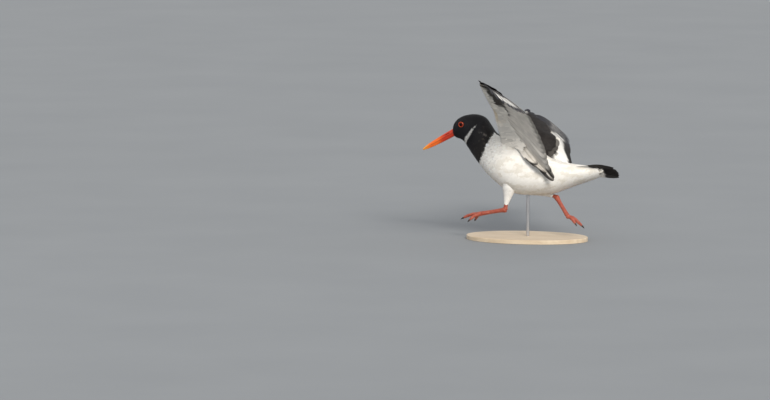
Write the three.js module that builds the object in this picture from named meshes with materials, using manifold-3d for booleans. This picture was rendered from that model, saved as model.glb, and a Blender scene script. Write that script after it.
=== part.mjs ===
// A running oystercatcher at life size, wings raised, on a plain display stand.
// Millimetres. The bird faces -Y, its left side is +X and +Z is up; the origin is the
// middle of the underside of the stand's base.
import * as THREE from "three";
import { mergeVertices } from "three/addons/utils/BufferGeometryUtils.js";
import Module from "manifold-3d";

const wasm = await Module();
wasm.setup();

// ---------------------------------------------------------------- driving sizes
const GAP = 0.35; // left between neighbouring pieces
const BILL_LENGTH = 76; // along the culmen
const BILL_DEPTH = 14; // at the base
const BILL_WIDTH = 11;
const EYE_RADIUS = 6.3;
const TARSUS_RADIUS = 4.2;
const TAIL_FEATHERS = 12;
const TAIL_LENGTH = 94; // of the middle tail feathers, from their hidden roots
const PRIMARIES = 10;
const SECONDARIES = 10;
const TERTIALS = 5;
const VANE_THICKNESS = 1.0;

const BASE_LENGTH = 250; // stand base, along Y
const BASE_WIDTH = 170;
const BASE_THICKNESS = 8;
const BASE_EDGE = 1.5; // rounding of its upper edge
const ROD_RADIUS = 3;
const ROD_AT = [7, 4]; // where the rod stands on the base
const ROD_TOP = 128; // end of the rod, inside the trunk

// The body from the face to the end of the tail coverts. Each station gives the lower (front)
// and upper (back) ends of a section across the body as y, z, then its half width and how far
// it is rolled (left side up), in degrees.
const STATIONS = [
  [-153.5, 203.5, -156.5, 216, 6.5, 0], // feathering at the base of the bill
  [-148, 200, -153.5, 229, 11, 0],
  [-139.5, 197.5, -143, 239.8, 15.5, 0], // lores and forehead
  [-131.5, 192.5, -127, 246.3, 18.3, 0], // eye
  [-127, 186, -106, 248, 20, 0], // crown
  [-121.5, 178, -88, 242, 21.5, 0],
  [-114.5, 168.5, -77, 228, 24.5, 2], // nape
  [-105, 157, -66, 212.5, 30, 5],
  [-94, 143.5, -50, 204.5, 37, 10], // foot of the neck
  [-81, 129, -31, 199, 43, 15], // breast
  [-64, 114.5, -10, 192, 47, 18],
  [-44, 101, 12, 184, 49.5, 20],
  [-20, 92, 31, 174.5, 49.5, 20], // belly
  [18, 90.5, 50, 164.5, 46, 20],
  [54, 95, 70, 158.5, 39.5, 20], // vent
  [82, 105, 90, 155.5, 32.5, 21],
  [106, 114.5, 110, 153.5, 27, 22],
  [129, 123, 130, 151.5, 22.5, 24],
  [149, 131.5, 147, 149, 17, 25], // end of the undertail coverts
];
const CUTS = { head: [0, 6], neck: [6, 9], trunk: [9, 14.5], rump: [14.5, 18] };
const RING = 20; // corners of a body section

// Wing skeletons: shoulder, elbow, wrist and the end of the hand.
const LEFT_WING = {
  side: 1,
  bow: 5, // rise of the feathers between root and tip
  bones: [
    [16, -40, 188],
    [32, -46, 254],
    [84, -66, 315],
    [148, -44, 321],
  ],
  // feather tips by number, from the outermost primary to the innermost feathers by the body
  tips: [
    [0, 309, 30, 320],
    [1, 304, 40, 309],
    [3, 274, 54, 292],
    [5, 234, 58, 279],
    [9, 152, 54, 263],
    [11, 122, 54, 247],
    [14, 94, 60, 214],
    [17, 76, 65, 184],
    [19, 68, 68, 160],
    [21, 61, 78, 132],
    [22, 58, 76, 126],
    [24, 52, 40, 156],
    [27, 46, 6, 178],
    [30, 38, -22, 190],
  ],
};
const RIGHT_WING = {
  side: -1,
  bow: 5,
  bones: [
    [-36, -38, 170],
    [-57, -4, 207],
    [-105, -40, 243],
    [-169, -43, 236],
  ],
  tips: [
    [0, -340, -50, 193],
    [1, -334, -38, 187],
    [3, -300, -16, 181],
    [5, -258, 2, 179],
    [9, -184, 30, 171],
    [11, -150, 42, 166],
    [14, -114, 54, 157],
    [17, -92, 64, 147],
    [19, -80, 70, 140],
    [21, -68, 86, 120],
    [22, -67, 80, 119],
    [24, -66, 50, 134],
    [27, -62, 16, 150],
    [30, -56, -12, 160],
  ],
};

// Legs: knee, ankle, foot joint, then the three toe tips (inner, middle, outer).
const LEFT_LEG = {
  knee: [24, -26, 122],
  ankle: [25, -38, 61],
  foot: [22, -90, 51],
  toes: [
    [5, -109, 34],
    [18, -134, 38],
    [33, -114, 35],
  ],
  thigh: 17,
};
const RIGHT_LEG = {
  knee: [-12, 14, 106],
  ankle: [-10, 59, 85.5],
  foot: [7.5, 88, 51],
  toes: [
    [14, 109, 33],
    [-4, 119, 27],
    [-13, 107, 35],
  ],
  thigh: 16,
};

// ---------------------------------------------------------------- vectors and splines
const V = (a) => new THREE.Vector3(a[0], a[1], a[2]);
const mix = (a, b, t) => a + (b - a) * t;
const rad = (d) => (d * Math.PI) / 180;

// Catmull-Rom through rows of numbers; u counts rows.
function along(rows, u) {
  const n = rows.length - 1;
  const i = Math.min(n - 1, Math.max(0, Math.floor(u)));
  const t = u - i;
  const p = [rows[Math.max(0, i - 1)], rows[i], rows[i + 1], rows[Math.min(n, i + 2)]];
  return p[1].map(
    (_, k) =>
      0.5 *
      (2 * p[1][k] +
        (p[2][k] - p[0][k]) * t +
        (2 * p[0][k] - 5 * p[1][k] + 4 * p[2][k] - p[3][k]) * t * t +
        (3 * p[1][k] - p[0][k] - 3 * p[2][k] + p[3][k]) * t * t * t),
  );
}
// Rows keyed by their first number, smoothed between the keys.
function keyed(rows, k) {
  let i = 0;
  while (i < rows.length - 2 && k > rows[i + 1][0]) i++;
  const t = (k - rows[i][0]) / (rows[i + 1][0] - rows[i][0]);
  return along(
    rows.map((r) => r.slice(1)),
    i + Math.min(1, Math.max(0, t)),
  );
}

// ---------------------------------------------------------------- solids
function manifoldOf(positions, triangles) {
  const g = new THREE.BufferGeometry();
  g.setAttribute("position", new THREE.BufferAttribute(new Float32Array(positions), 3));
  g.setIndex(triangles);
  const m = mergeVertices(g, 1e-4);
  const tri = [];
  const idx = m.index.array;
  for (let i = 0; i < idx.length; i += 3) {
    const [a, b, c] = [idx[i], idx[i + 1], idx[i + 2]];
    if (a !== b && b !== c && a !== c) tri.push(a, b, c);
  }
  const make = (t) =>
    new wasm.Manifold(
      new wasm.Mesh({
        numProp: 3,
        vertProperties: new Float32Array(m.attributes.position.array),
        triVerts: new Uint32Array(t),
      }),
    );
  const made = make(tri);
  if (made.volume() >= 0) return made;
  const turned = [];
  for (let i = 0; i < tri.length; i += 3) turned.push(tri[i], tri[i + 2], tri[i + 1]);
  return make(turned);
}

// A closed skin over rings with the same number of corners, capped at both ends.
function loft(rings) {
  const n = rings[0].length;
  const pos = [];
  rings.forEach((r) => r.forEach((p) => pos.push(p.x, p.y, p.z)));
  const tri = [];
  for (let i = 0; i + 1 < rings.length; i++)
    for (let j = 0; j < n; j++) {
      const a = i * n + j,
        b = i * n + ((j + 1) % n);
      tri.push(a, b, a + n, b, b + n, a + n);
    }
  [0, rings.length - 1].forEach((i, end) => {
    const c = rings[i].reduce((s, p) => s.add(p), new THREE.Vector3()).divideScalar(n);
    pos.push(c.x, c.y, c.z);
    const at = pos.length / 3 - 1;
    for (let j = 0; j < n; j++) {
      const a = i * n + j,
        b = i * n + ((j + 1) % n);
      if (end) tri.push(a, b, at);
      else tri.push(b, a, at);
    }
  });
  return manifoldOf(pos, tri);
}

const join = (solids) => solids.reduce((a, b) => a.add(b));

// A round tube through points, each with a radius, with a rounded nose at the far end.
function limb(points, radii, sides, grow = 0, flat = 1) {
  const rings = [];
  const n = points.length;
  const dirs = points.map((p, i) =>
    points[Math.min(n - 1, i + 1)].clone().sub(points[Math.max(0, i - 1)]).normalize(),
  );
  const ring = (p, d, r) => {
    const side = new THREE.Vector3(1, 0.2, 0.1).cross(d).normalize();
    const up = d.clone().cross(side).normalize();
    return Array.from({ length: sides }, (_, j) => {
      const f = (j / sides) * 2 * Math.PI;
      return p
        .clone()
        .addScaledVector(side, Math.cos(f) * (r + grow) * flat)
        .addScaledVector(up, Math.sin(f) * (r + grow));
    });
  };
  points.forEach((p, i) => rings.push(ring(p, dirs[i], radii[i])));
  const last = points[n - 1].clone().addScaledVector(dirs[n - 1], radii[n - 1] * 0.6 + grow);
  rings.push(ring(last, dirs[n - 1], radii[n - 1] * 0.45));
  return loft(rings);
}

const root = new THREE.Group();
function piece(name, solid, colour, roughness, metalness = 0) {
  const m = solid.getMesh();
  const pos = new Float32Array(m.numVert * 3);
  for (let i = 0; i < m.numVert; i++)
    for (let k = 0; k < 3; k++) pos[i * 3 + k] = m.vertProperties[i * m.numProp + k];
  const g = new THREE.BufferGeometry();
  g.setAttribute("position", new THREE.BufferAttribute(pos, 3));
  g.setIndex(new THREE.BufferAttribute(m.triVerts, 1));
  const mesh = new THREE.Mesh(
    g,
    new THREE.MeshStandardMaterial({ color: colour, roughness, metalness }),
  );
  mesh.name = name;
  root.add(mesh);
}

// ---------------------------------------------------------------- body
// Section ring of the body at station u, grown outwards by g.
function bodyRing(u, g = 0) {
  const [fy, fz, by, bz, w, roll] = along(STATIONS, u);
  const c = new THREE.Vector3(0, (fy + by) / 2, (fz + bz) / 2);
  const up = new THREE.Vector3(0, by - fy, bz - fz);
  const h = up.length() / 2 + g;
  up.normalize();
  const left = new THREE.Vector3(1, 0, 0);
  const e1 = left.clone().multiplyScalar(Math.cos(rad(roll))).addScaledVector(up, Math.sin(rad(roll)));
  const e2 = up.clone().multiplyScalar(Math.cos(rad(roll))).addScaledVector(left, -Math.sin(rad(roll)));
  return Array.from({ length: RING }, (_, j) => {
    const f = (j / RING) * 2 * Math.PI;
    const x = Math.cos(f),
      y = Math.sin(f);
    // the back is a little flatter and the belly a little fuller than an ellipse
    const full = y < 0 ? 0.92 : 0.96;
    return c
      .clone()
      .addScaledVector(e1, Math.sign(x) * Math.pow(Math.abs(x), full) * (w + g))
      .addScaledVector(e2, Math.sign(y) * Math.pow(Math.abs(y), 0.97) * h);
  });
}
function bodyPart(from, to, step = 0.5, g = 0) {
  const n = Math.max(2, Math.round((to - from) / step));
  return loft(Array.from({ length: n + 1 }, (_, i) => bodyRing(mix(from, to, i / n), g)));
}
const trim = 0.008; // of a station: the thin cuts between the parts of the body
const wholeGrown = bodyPart(0, 18, 0.5, GAP);

// ---------------------------------------------------------------- bill
const faceCentre = new THREE.Vector3(0, -154.6, 210);
const billDown = rad(28);
const billDir = new THREE.Vector3(0, -Math.cos(billDown), -Math.sin(billDown));
const billUp = new THREE.Vector3(0, -Math.sin(billDown), Math.cos(billDown));
// Depth above and below the gape line and half width, along the bill.
const billTop = (t) => BILL_DEPTH * (0.56 - 0.2 * t - 0.1 * t * t) * Math.sqrt(Math.max(0, 1 - Math.pow(t, 9)) + 0.02);
const billBottom = (t) => BILL_DEPTH * (0.46 + 0.06 * t - 0.32 * t * t) * Math.sqrt(Math.max(0, 1 - Math.pow(t, 8)) + 0.02);
const billHalf = (t) => BILL_WIDTH * (0.5 - 0.34 * Math.pow(t, 0.7)) * Math.sqrt(Math.max(0, 1 - Math.pow(t, 10)) + 0.05);
function mandible(upper) {
  const rings = [];
  const from = -0.06;
  for (let i = 0; i <= 11; i++) {
    const t = mix(from, 1, 1 - Math.pow(1 - i / 11, 1.25));
    const s = Math.max(0, t);
    const c = faceCentre.clone().addScaledVector(billDir, t * BILL_LENGTH);
    c.addScaledVector(billUp, -1.2 * s * s);
    const deep = upper ? billTop(s) : billBottom(s);
    const half = billHalf(s);
    rings.push(
      Array.from({ length: 9 }, (_, j) => {
        const f = (j / 8) * Math.PI;
        const y = Math.sin(f) * deep + GAP / 2;
        return c
          .clone()
          .addScaledVector(new THREE.Vector3(1, 0, 0), Math.cos(f) * half)
          .addScaledVector(billUp, upper ? y : -y);
      }),
    );
  }
  return loft(rings);
}

// ---------------------------------------------------------------- eyes
function ball(centre, r, seg = 12) {
  const g = new THREE.SphereGeometry(r, seg, Math.round(seg * 0.7));
  g.deleteAttribute("normal");
  g.deleteAttribute("uv");
  const m = mergeVertices(g, 1e-4);
  return manifoldOf(
    Array.from(m.attributes.position.array).map((v, i) => v + centre.getComponent(i % 3)),
    Array.from(m.index.array),
  );
}
const EYES = { left: new THREE.Vector3(13.2, -133.5, 228), right: new THREE.Vector3(-13.2, -133.5, 228) };

// ---------------------------------------------------------------- wings
// A wing is a curved surface between the path of the feather roots and the path of their tips.
// k counts feathers: 0 is the outermost primary, 9.5 the wrist, 19.5 the elbow, LAST the
// innermost tertial and SHOULDER the shoulder joint.
const WRIST_K = PRIMARIES - 0.5;
const ELBOW_K = PRIMARIES + SECONDARIES - 0.5;
const LAST = PRIMARIES + SECONDARIES + TERTIALS - 1;
const SHOULDER_K = LAST + 6;

function wing(w) {
  const bones = w.bones.map(V);
  const bone = (k) => {
    if (k <= WRIST_K) return bones[3].clone().lerp(bones[2], k / WRIST_K);
    if (k <= ELBOW_K) return bones[2].clone().lerp(bones[1], (k - WRIST_K) / (ELBOW_K - WRIST_K));
    return bones[1].clone().lerp(bones[0], Math.min(1, (k - ELBOW_K) / (SHOULDER_K - ELBOW_K)));
  };
  const rootAt = (k) => {
    const s = new THREE.Vector3();
    let t = 0;
    for (let d = -2; d <= 2; d++) {
      const g = Math.exp(-d * d * 0.3);
      s.addScaledVector(bone(Math.min(SHOULDER_K, Math.max(0, k + d))), g);
      t += g;
    }
    return s.divideScalar(t);
  };
  const tipAt = (k) => {
    if (k < 0) return tipAt(0).add(tipAt(0).sub(tipAt(0.5)).multiplyScalar(-k * 2));
    return V(keyed(w.tips, Math.min(SHOULDER_K, k)));
  };
  const rootOut = (k) => (k < 0 ? rootAt(0).add(rootAt(0).sub(rootAt(1)).multiplyScalar(-k * 0.6)) : rootAt(k));
  // Point of the wing surface; t runs from root to tip, and the feathers bow a little.
  const normalAt = (k, t) => {
    const d = 0.25;
    const p = (kk, tt) => rootOut(kk).lerp(tipAt(kk), tt);
    const dk = p(k - d, t).sub(p(k + d, t));
    const dt = p(k, t + 0.02).sub(p(k, t - 0.02));
    return dk.cross(dt).normalize().multiplyScalar(w.side);
  };
  const at = (k, t, z = 0) => {
    const p = rootOut(k).lerp(tipAt(k), t);
    return p.addScaledVector(normalAt(k, Math.min(t, 0.97)), z + w.bow * Math.sin(Math.PI * Math.min(1, Math.max(0, t))));
  };
  return { rootAt: rootOut, tipAt, normalAt, at, bones, side: w.side };
}

const COVERT_GAP = 0.9; // between the coverts and the vanes that come out from under them
// A row of flight feathers as one thin vane, thickest at the quills, with a rounded tip and a
// notch for every feather. notch(k) is how far in the notch reaches, as a share of the length.
function fan(w, from, to, notch, cover) {
  const EDGE = 0.035; // of a feather: the cut between neighbouring rows
  const columns = [];
  for (let k = from; k <= to; k++) {
    const n = notch(k);
    if (k === from) columns.push([k - 0.5 + EDGE, 1 - n]);
    columns.push([k - 0.3, 1 - 0.12 * n], [k + 0.22, 1]);
    columns.push([k === to ? k + 0.5 - EDGE : k + 0.5, 1 - n]);
  }
  const rows = [0, 0.36, 0.74, 1];
  const half = [1.2, 0.8, 0.6, 0.5];
  const pos = [];
  for (const side of [1, -1])
    columns.forEach(([k, reach]) =>
      rows.forEach((t, i) => {
        // the vane starts where the coverts end
        const f = w.tipAt(k).sub(w.rootAt(k));
        const span = w.rootAt(k - 0.5).sub(w.rootAt(k + 0.5)).normalize();
        const across = Math.sqrt(Math.max(0.05, f.lengthSq() - f.dot(span) ** 2));
        const first = (cover(k) + COVERT_GAP) / across;
        const p = w.at(k, mix(first, reach, t), side * half[i] * VANE_THICKNESS);
        pos.push(p.x, p.y, p.z);
      }),
    );
  const m = rows.length,
    n = columns.length,
    at = (s, c, r) => s * n * m + c * m + r;
  const tri = [];
  const quad = (a, b, c, d) => tri.push(a, b, c, a, c, d);
  for (let c = 0; c + 1 < n; c++) {
    for (let r = 0; r + 1 < m; r++) {
      quad(at(0, c, r), at(0, c, r + 1), at(0, c + 1, r + 1), at(0, c + 1, r));
      quad(at(1, c + 1, r), at(1, c + 1, r + 1), at(1, c, r + 1), at(1, c, r));
    }
    quad(at(0, c, 0), at(0, c + 1, 0), at(1, c + 1, 0), at(1, c, 0));
    quad(at(1, c, m - 1), at(1, c + 1, m - 1), at(0, c + 1, m - 1), at(0, c, m - 1));
  }
  for (let r = 0; r + 1 < m; r++) {
    quad(at(1, 0, r), at(1, 0, r + 1), at(0, 0, r + 1), at(0, 0, r));
    quad(at(0, n - 1, r), at(0, n - 1, r + 1), at(1, n - 1, r + 1), at(1, n - 1, r));
  }
  return manifoldOf(pos, tri);
}

// The arm and the hand with their coverts: thick along the bones, thin behind.
function armSolid(w, from, to, cover, thick, lead, grow = 0, steps = 8) {
  const stops = Array.from({ length: steps + 1 }, (_, i) => mix(from, to, i / steps));
  if (grow) {
    // a grown copy also runs a little past both ends
    stops.unshift(from - 0.16);
    stops.push(to + 0.16);
  }
  return loft(
    stops.map((k) => {
      const r = w.rootAt(k);
      const span = w.rootAt(k - 0.5).sub(w.rootAt(k + 0.5)).normalize();
      const back = w.at(k, 0.4).sub(r);
      back.addScaledVector(span, -back.dot(span)).normalize();
      const n = span.clone().cross(back).normalize().multiplyScalar(w.side);
      const c = cover(k) + grow,
        t = thick(k) + grow,
        l = lead(k) + grow,
        e = 1.3 + grow;
      const p = (x, z) => r.clone().addScaledVector(back, x).addScaledVector(n, z + w.bowAt(x));
      return [
        p(-l, 0),
        p(-l * 0.6, t * 0.75),
        p(2, t),
        p(c * 0.5, t * 0.5 + e * 0.5),
        p(c, e),
        p(c, -e),
        p(c * 0.5, -t * 0.35 - e * 0.5),
        p(2, -t * 0.8),
        p(-l * 0.6, -t * 0.6),
      ];
    }),
  );
}

const largest = (s) => s.decompose().sort((a, b) => b.volume() - a.volume())[0];

const ALULA_FORWARD = 5.2;
const ALULA_LENGTH = 44;
function buildWing(name, spec) {
  const w = wing(spec);
  w.bowAt = (x) => spec.bow * Math.sin(Math.PI * Math.min(0.5, Math.max(0, x) / 110));
  const last = SHOULDER_K - 0.5;
  const ease = (k, a, b) => Math.min(1, Math.max(0, (k - a) / (b - a)));
  const handCover = (k) => mix(16, 40, ease(k, 0, 9));
  const armCover = (k) => 42 + 14 * ease(k, 9.5, 20) - 6 * ease(k, 24, last);
  const handThick = (k) => mix(1.9, 5.2, ease(k, 0, 9));
  const armThick = (k) => 5.2 + 2.8 * ease(k, 9.5, 19) + 4 * ease(k, 22, last);
  const handLead = (k) => mix(3, 7, ease(k, 0, 9));
  const armLead = (k) => 7 + 11 * Math.sin(Math.PI * ease(k, 9.5, 27));
  const split = 9.2;
  const tertialFrom = PRIMARIES + SECONDARIES;

  const hand = armSolid(w, 0, split, handCover, handThick, handLead, 0, 6);
  const handGrown = armSolid(w, 0, split, handCover, handThick, handLead, 1.4 * GAP, 6);
  const armGrown = armSolid(w, split, last, armCover, armThick, armLead, 1.6 * GAP, 10);
  const arm = armSolid(w, split, last, armCover, armThick, armLead, 0, 10).subtract(handGrown).subtract(wholeGrown);
  const cut = (s) => s.subtract(handGrown).subtract(armGrown).subtract(wholeGrown);

  const primaries = cut(fan(w, 0, PRIMARIES - 1, (k) => 0.05 + 0.12 * Math.max(0, 1 - k / 4), handCover));
  const secondaries = cut(fan(w, PRIMARIES, tertialFrom - 1, () => 0.045, armCover));
  const tertials = cut(fan(w, tertialFrom, LAST, () => 0.07, armCover));

  // The alula: a short pointed blade in front of the hand.
  const dir = w.bones[3].clone().sub(w.bones[2]).normalize();
  const n = w.normalAt(6, 0.1);
  const front = n.clone().cross(dir).normalize().multiplyScalar(-w.side);
  const a0 = w.rootAt(8.8).addScaledVector(front, ALULA_FORWARD).addScaledVector(n, 2);
  const aDir = dir.clone().addScaledVector(front, 0.16).addScaledVector(n, 0.06).normalize();
  const across = n.clone().cross(aDir).normalize();
  const rings = [
    [0, 3],
    [0.35, 5.5],
    [0.75, 4.2],
    [1, 0.8],
  ].map(([t, half]) => {
    const c = a0.clone().addScaledVector(aDir, ALULA_LENGTH * t);
    const q = (x, z) => c.clone().addScaledVector(across, x).addScaledVector(n, z);
    return [q(-half, -0.6), q(-half, 0.6), q(half, 0.6), q(half, -0.6)];
  });
  const alula = loft(rings).subtract(handGrown).subtract(armGrown);
  return { name, hand, arm, primaries, secondaries, tertials, alula };
}
const WINGS = { left: buildWing("left", LEFT_WING), right: buildWing("right", RIGHT_WING) };

// ---------------------------------------------------------------- tail
const tailRoot = new THREE.Vector3(0, 93, 143.2);
const tailRoll = rad(29);
const tailLeft = new THREE.Vector3(Math.cos(tailRoll), 0, Math.sin(tailRoll));
const tailDir = new THREE.Vector3(0, 1, 0.06).normalize();
const tailUp = tailDir.clone().cross(tailLeft).normalize().multiplyScalar(-1);
function tailFan() {
  return join(
    Array.from({ length: TAIL_FEATHERS }, (_, i) => {
      const q = (i / (TAIL_FEATHERS - 1)) * 2 - 1; // -1 right outer, +1 left outer
      const apart = q > 0 ? 3 : -1; // the fan is parted, its left half lifted and a little shorter
      const spread = rad(11.5 * q + apart);
      const f = tailDir.clone().multiplyScalar(Math.cos(spread)).addScaledVector(tailLeft, Math.sin(spread));
      const side = f.clone().cross(tailUp).normalize();
      const r = tailRoot
        .clone()
        .addScaledVector(tailLeft, q * 9)
        .addScaledVector(tailUp, -3.2 * q * q + 0.35 * (i % 2) + 1.2 * Math.max(0, q));
      const length = TAIL_LENGTH - 4 * q * q - 4.5 * q - 9 * Math.min(1, Math.max(0, q / 0.5));
      return loft(
        [
          [0, 5],
          [0.6, 8.5],
          [0.93, 8.5],
          [0.985, 6.2],
          [1, 2.6],
        ].map(([t, half]) => {
          const c = r.clone().addScaledVector(f, length * t);
          const p = (x, z) => c.clone().addScaledVector(side, x).addScaledVector(tailUp, z);
          return [p(-half, -0.5), p(-half, 0.5), p(half, 0.5), p(half, -0.5)];
        }),
      );
    }),
  );
}

// ---------------------------------------------------------------- legs
function buildLeg(name, leg) {
  const [knee, ankle, foot] = [V(leg.knee), V(leg.ankle), V(leg.foot)];
  const toTibia = (t) => knee.clone().lerp(ankle, t);
  // Feathered thigh and upper shank.
  const thighRows = [
    [0, leg.thigh],
    [0.3, leg.thigh * 0.82],
    [0.55, leg.thigh * 0.5],
    [0.78, 5.0],
  ];
  const thigh = limb(thighRows.map((r) => toTibia(r[0])), thighRows.map((r) => r[1]), 12).subtract(wholeGrown);
  const thighGrown = limb(thighRows.map((r) => toTibia(r[0])), thighRows.map((r) => r[1]), 12, GAP);
  // Bare shank, ankle and tarsus.
  const shin = foot.clone().sub(ankle);
  const heel = ankle.clone();
  const legLine = [
    [toTibia(0.6), 3.7],
    [toTibia(0.86), 3.8],
    [toTibia(0.96), 4.7],
    [heel, 5.5],
    [ankle.clone().addScaledVector(shin, 0.08), 5.0],
    [ankle.clone().addScaledVector(shin, 0.2), TARSUS_RADIUS],
    [ankle.clone().addScaledVector(shin, 0.55), TARSUS_RADIUS * 0.93],
    [ankle.clone().addScaledVector(shin, 0.85), TARSUS_RADIUS],
    [ankle.clone().addScaledVector(shin, 0.97), TARSUS_RADIUS * 1.1],
  ];
  let tarsus = limb(legLine.map((r) => r[0]), legLine.map((r) => r[1]), 8);
  tarsus = tarsus.subtract(thighGrown).subtract(wholeGrown);
  const tarsusGrown = limb(legLine.map((r) => r[0]), legLine.map((r) => r[1]), 8, GAP);
  // Foot: a palm with three toes that taper to the claws.
  const stops = [
    [0, 4.1],
    [0.3, 3.6],
    [0.55, 3.2],
    [0.84, 2.6],
  ];
  const claws = [];
  const toeSolids = leg.toes.map((tip, i) => {
    const l = V(tip).sub(foot);
    const arch = new THREE.Vector3(0, 0, 3.2);
    const at = (t) => foot.clone().addScaledVector(l, t).addScaledVector(arch, Math.sin(Math.PI * t));
    const slim = i === 1 ? 1 : 0.92;
    const toe = (g) => limb(stops.map((r) => at(r[0])), stops.map((r) => r[1] * slim), 6, g);
    const from = 0.84 + (stops[3][1] * slim * 0.6 + GAP) / l.length();
    claws.push(limb([at(from), at(mix(from, 1, 0.5)), at(0.99)], [1.8, 1.5, 0.7], 6));
    return toe(0);
  });
  // The web between the bases of the toes.
  const webPoints = [0, 2].map((i) => {
    const mid = V(leg.toes[1]).sub(foot),
      out = V(leg.toes[i]).sub(foot);
    return [foot.clone(), foot.clone().addScaledVector(mid, 0.32), foot.clone().addScaledVector(out, 0.34)];
  });
  const webs = webPoints.map((tri) => {
    const n = tri[1].clone().sub(tri[0]).cross(tri[2].clone().sub(tri[0])).normalize();
    const p = [];
    [1.1, -1.1].forEach((h) => tri.forEach((q) => p.push(...q.clone().addScaledVector(n, h).toArray())));
    return manifoldOf(p, [0, 1, 2, 3, 5, 4, 0, 3, 4, 0, 4, 1, 1, 4, 5, 1, 5, 2, 2, 5, 3, 2, 3, 0]);
  });
  const palm = ball(foot, 5.0, 7);
  const footSolid = join([...toeSolids, palm, ...webs]).subtract(tarsusGrown);
  return { name, thigh, tarsus, foot: footSolid, claws };
}

// ---------------------------------------------------------------- assembly
const BLACK = 0x17171b,
  WHITE = 0xece9e2,
  BILL = 0xd8481a,
  LEG = 0xc4543a;

// Head with sockets for the eyes and a seat for the bill.
let head = bodyPart(CUTS.head[0], CUTS.head[1] - trim);
for (const e of Object.values(EYES)) head = head.subtract(ball(e, EYE_RADIUS + GAP));
const bill = { upper: mandible(true), lower: mandible(false) };
const headFilled = bodyPart(0, 6, 0.5, GAP);
piece("head", head, BLACK, 0.75);
piece("neck", bodyPart(CUTS.neck[0] + trim, CUTS.neck[1] - trim), BLACK, 0.8);

const rod = (r, z0, z1) => {
  const ring = (z) =>
    Array.from({ length: 20 }, (_, j) => {
      const f = (j / 20) * 2 * Math.PI;
      return new THREE.Vector3(ROD_AT[0] + r * Math.cos(f), ROD_AT[1] + r * Math.sin(f), z);
    });
  return loft([ring(z0), ring(z1)]);
};
const legs = [buildLeg("left", LEFT_LEG), buildLeg("right", RIGHT_LEG)];
const trunk = bodyPart(CUTS.trunk[0] + trim, CUTS.trunk[1] - trim).subtract(rod(ROD_RADIUS + 0.45, 40, ROD_TOP + 0.6));
piece("trunk", trunk, WHITE, 0.8);
let rump = bodyPart(CUTS.rump[0] + trim, CUTS.rump[1]);
const tail = largest(tailFan().subtract(bodyPart(CUTS.rump[0], CUTS.rump[1], 0.5, GAP)));
piece("rump", rump, WHITE, 0.8);
piece("tail", tail, BLACK, 0.7);

piece("bill_upper", largest(bill.upper.subtract(headFilled)), BILL, 0.4);
piece("bill_lower", largest(bill.lower.subtract(headFilled)), BILL, 0.4);
piece("eye_left", ball(EYES.left, EYE_RADIUS), 0xa02010, 0.1);
piece("eye_right", ball(EYES.right, EYE_RADIUS), 0xa02010, 0.1);

for (const b of Object.values(WINGS)) {
  const n = "wing_" + b.name;
  piece(n + "_arm", largest(b.arm), WHITE, 0.8);
  piece(n + "_hand", b.hand, BLACK, 0.75);
  piece(n + "_primaries", largest(b.primaries), BLACK, 0.65);
  piece(n + "_secondaries", largest(b.secondaries), WHITE, 0.7);
  piece(n + "_tertials", largest(b.tertials), BLACK, 0.7);
  piece(n + "_alula", largest(b.alula), BLACK, 0.65);
}
for (const l of legs) {
  const n = "leg_" + l.name;
  piece(n + "_thigh", largest(l.thigh), WHITE, 0.8);
  piece(n + "_tarsus", largest(l.tarsus), LEG, 0.5);
  piece(n + "_foot", largest(l.foot), LEG, 0.5);
  ["inner", "middle", "outer"].forEach((t, i) => piece(n + "_claw_" + t, largest(l.claws[i]), 0x1a1614, 0.4));
}

// ---------------------------------------------------------------- stand
function standBase() {
  const ring = (grow, z) =>
    Array.from({ length: 44 }, (_, j) => {
      const f = (j / 44) * 2 * Math.PI;
      return new THREE.Vector3((BASE_WIDTH / 2 + grow) * Math.cos(f), (BASE_LENGTH / 2 + grow) * Math.sin(f), z);
    });
  const e = BASE_EDGE;
  return loft([
    ring(0, 0),
    ring(0, BASE_THICKNESS - e),
    ring(-e * 0.3, BASE_THICKNESS - e * 0.3),
    ring(-e, BASE_THICKNESS),
  ]);
}
piece("stand_base", standBase(), 0xd8d4cc, 0.6);
piece("stand_rod", rod(ROD_RADIUS, BASE_THICKNESS + 0.3, ROD_TOP), 0xb8b8bc, 0.3, 0.9);

export default root;
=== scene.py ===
# A running oystercatcher, life size, wings raised, on a plain stand.
import math

import bpy
import numpy as np
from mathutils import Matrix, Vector, kdtree


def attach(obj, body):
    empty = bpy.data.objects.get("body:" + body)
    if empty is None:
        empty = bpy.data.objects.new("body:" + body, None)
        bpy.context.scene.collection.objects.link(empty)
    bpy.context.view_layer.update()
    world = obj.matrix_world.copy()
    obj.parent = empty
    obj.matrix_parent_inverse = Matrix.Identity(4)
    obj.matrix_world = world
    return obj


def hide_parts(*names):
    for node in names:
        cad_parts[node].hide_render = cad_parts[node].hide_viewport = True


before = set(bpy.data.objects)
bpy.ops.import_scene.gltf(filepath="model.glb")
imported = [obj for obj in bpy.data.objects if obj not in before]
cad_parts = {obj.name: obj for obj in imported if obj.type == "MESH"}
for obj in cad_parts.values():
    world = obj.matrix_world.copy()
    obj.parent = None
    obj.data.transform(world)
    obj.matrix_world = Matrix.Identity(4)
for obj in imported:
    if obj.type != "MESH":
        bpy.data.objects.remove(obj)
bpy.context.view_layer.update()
MM = 0.001
TAU = 2 * math.pi


def rng(n):
    return np.random.default_rng(1000 + n)


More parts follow.
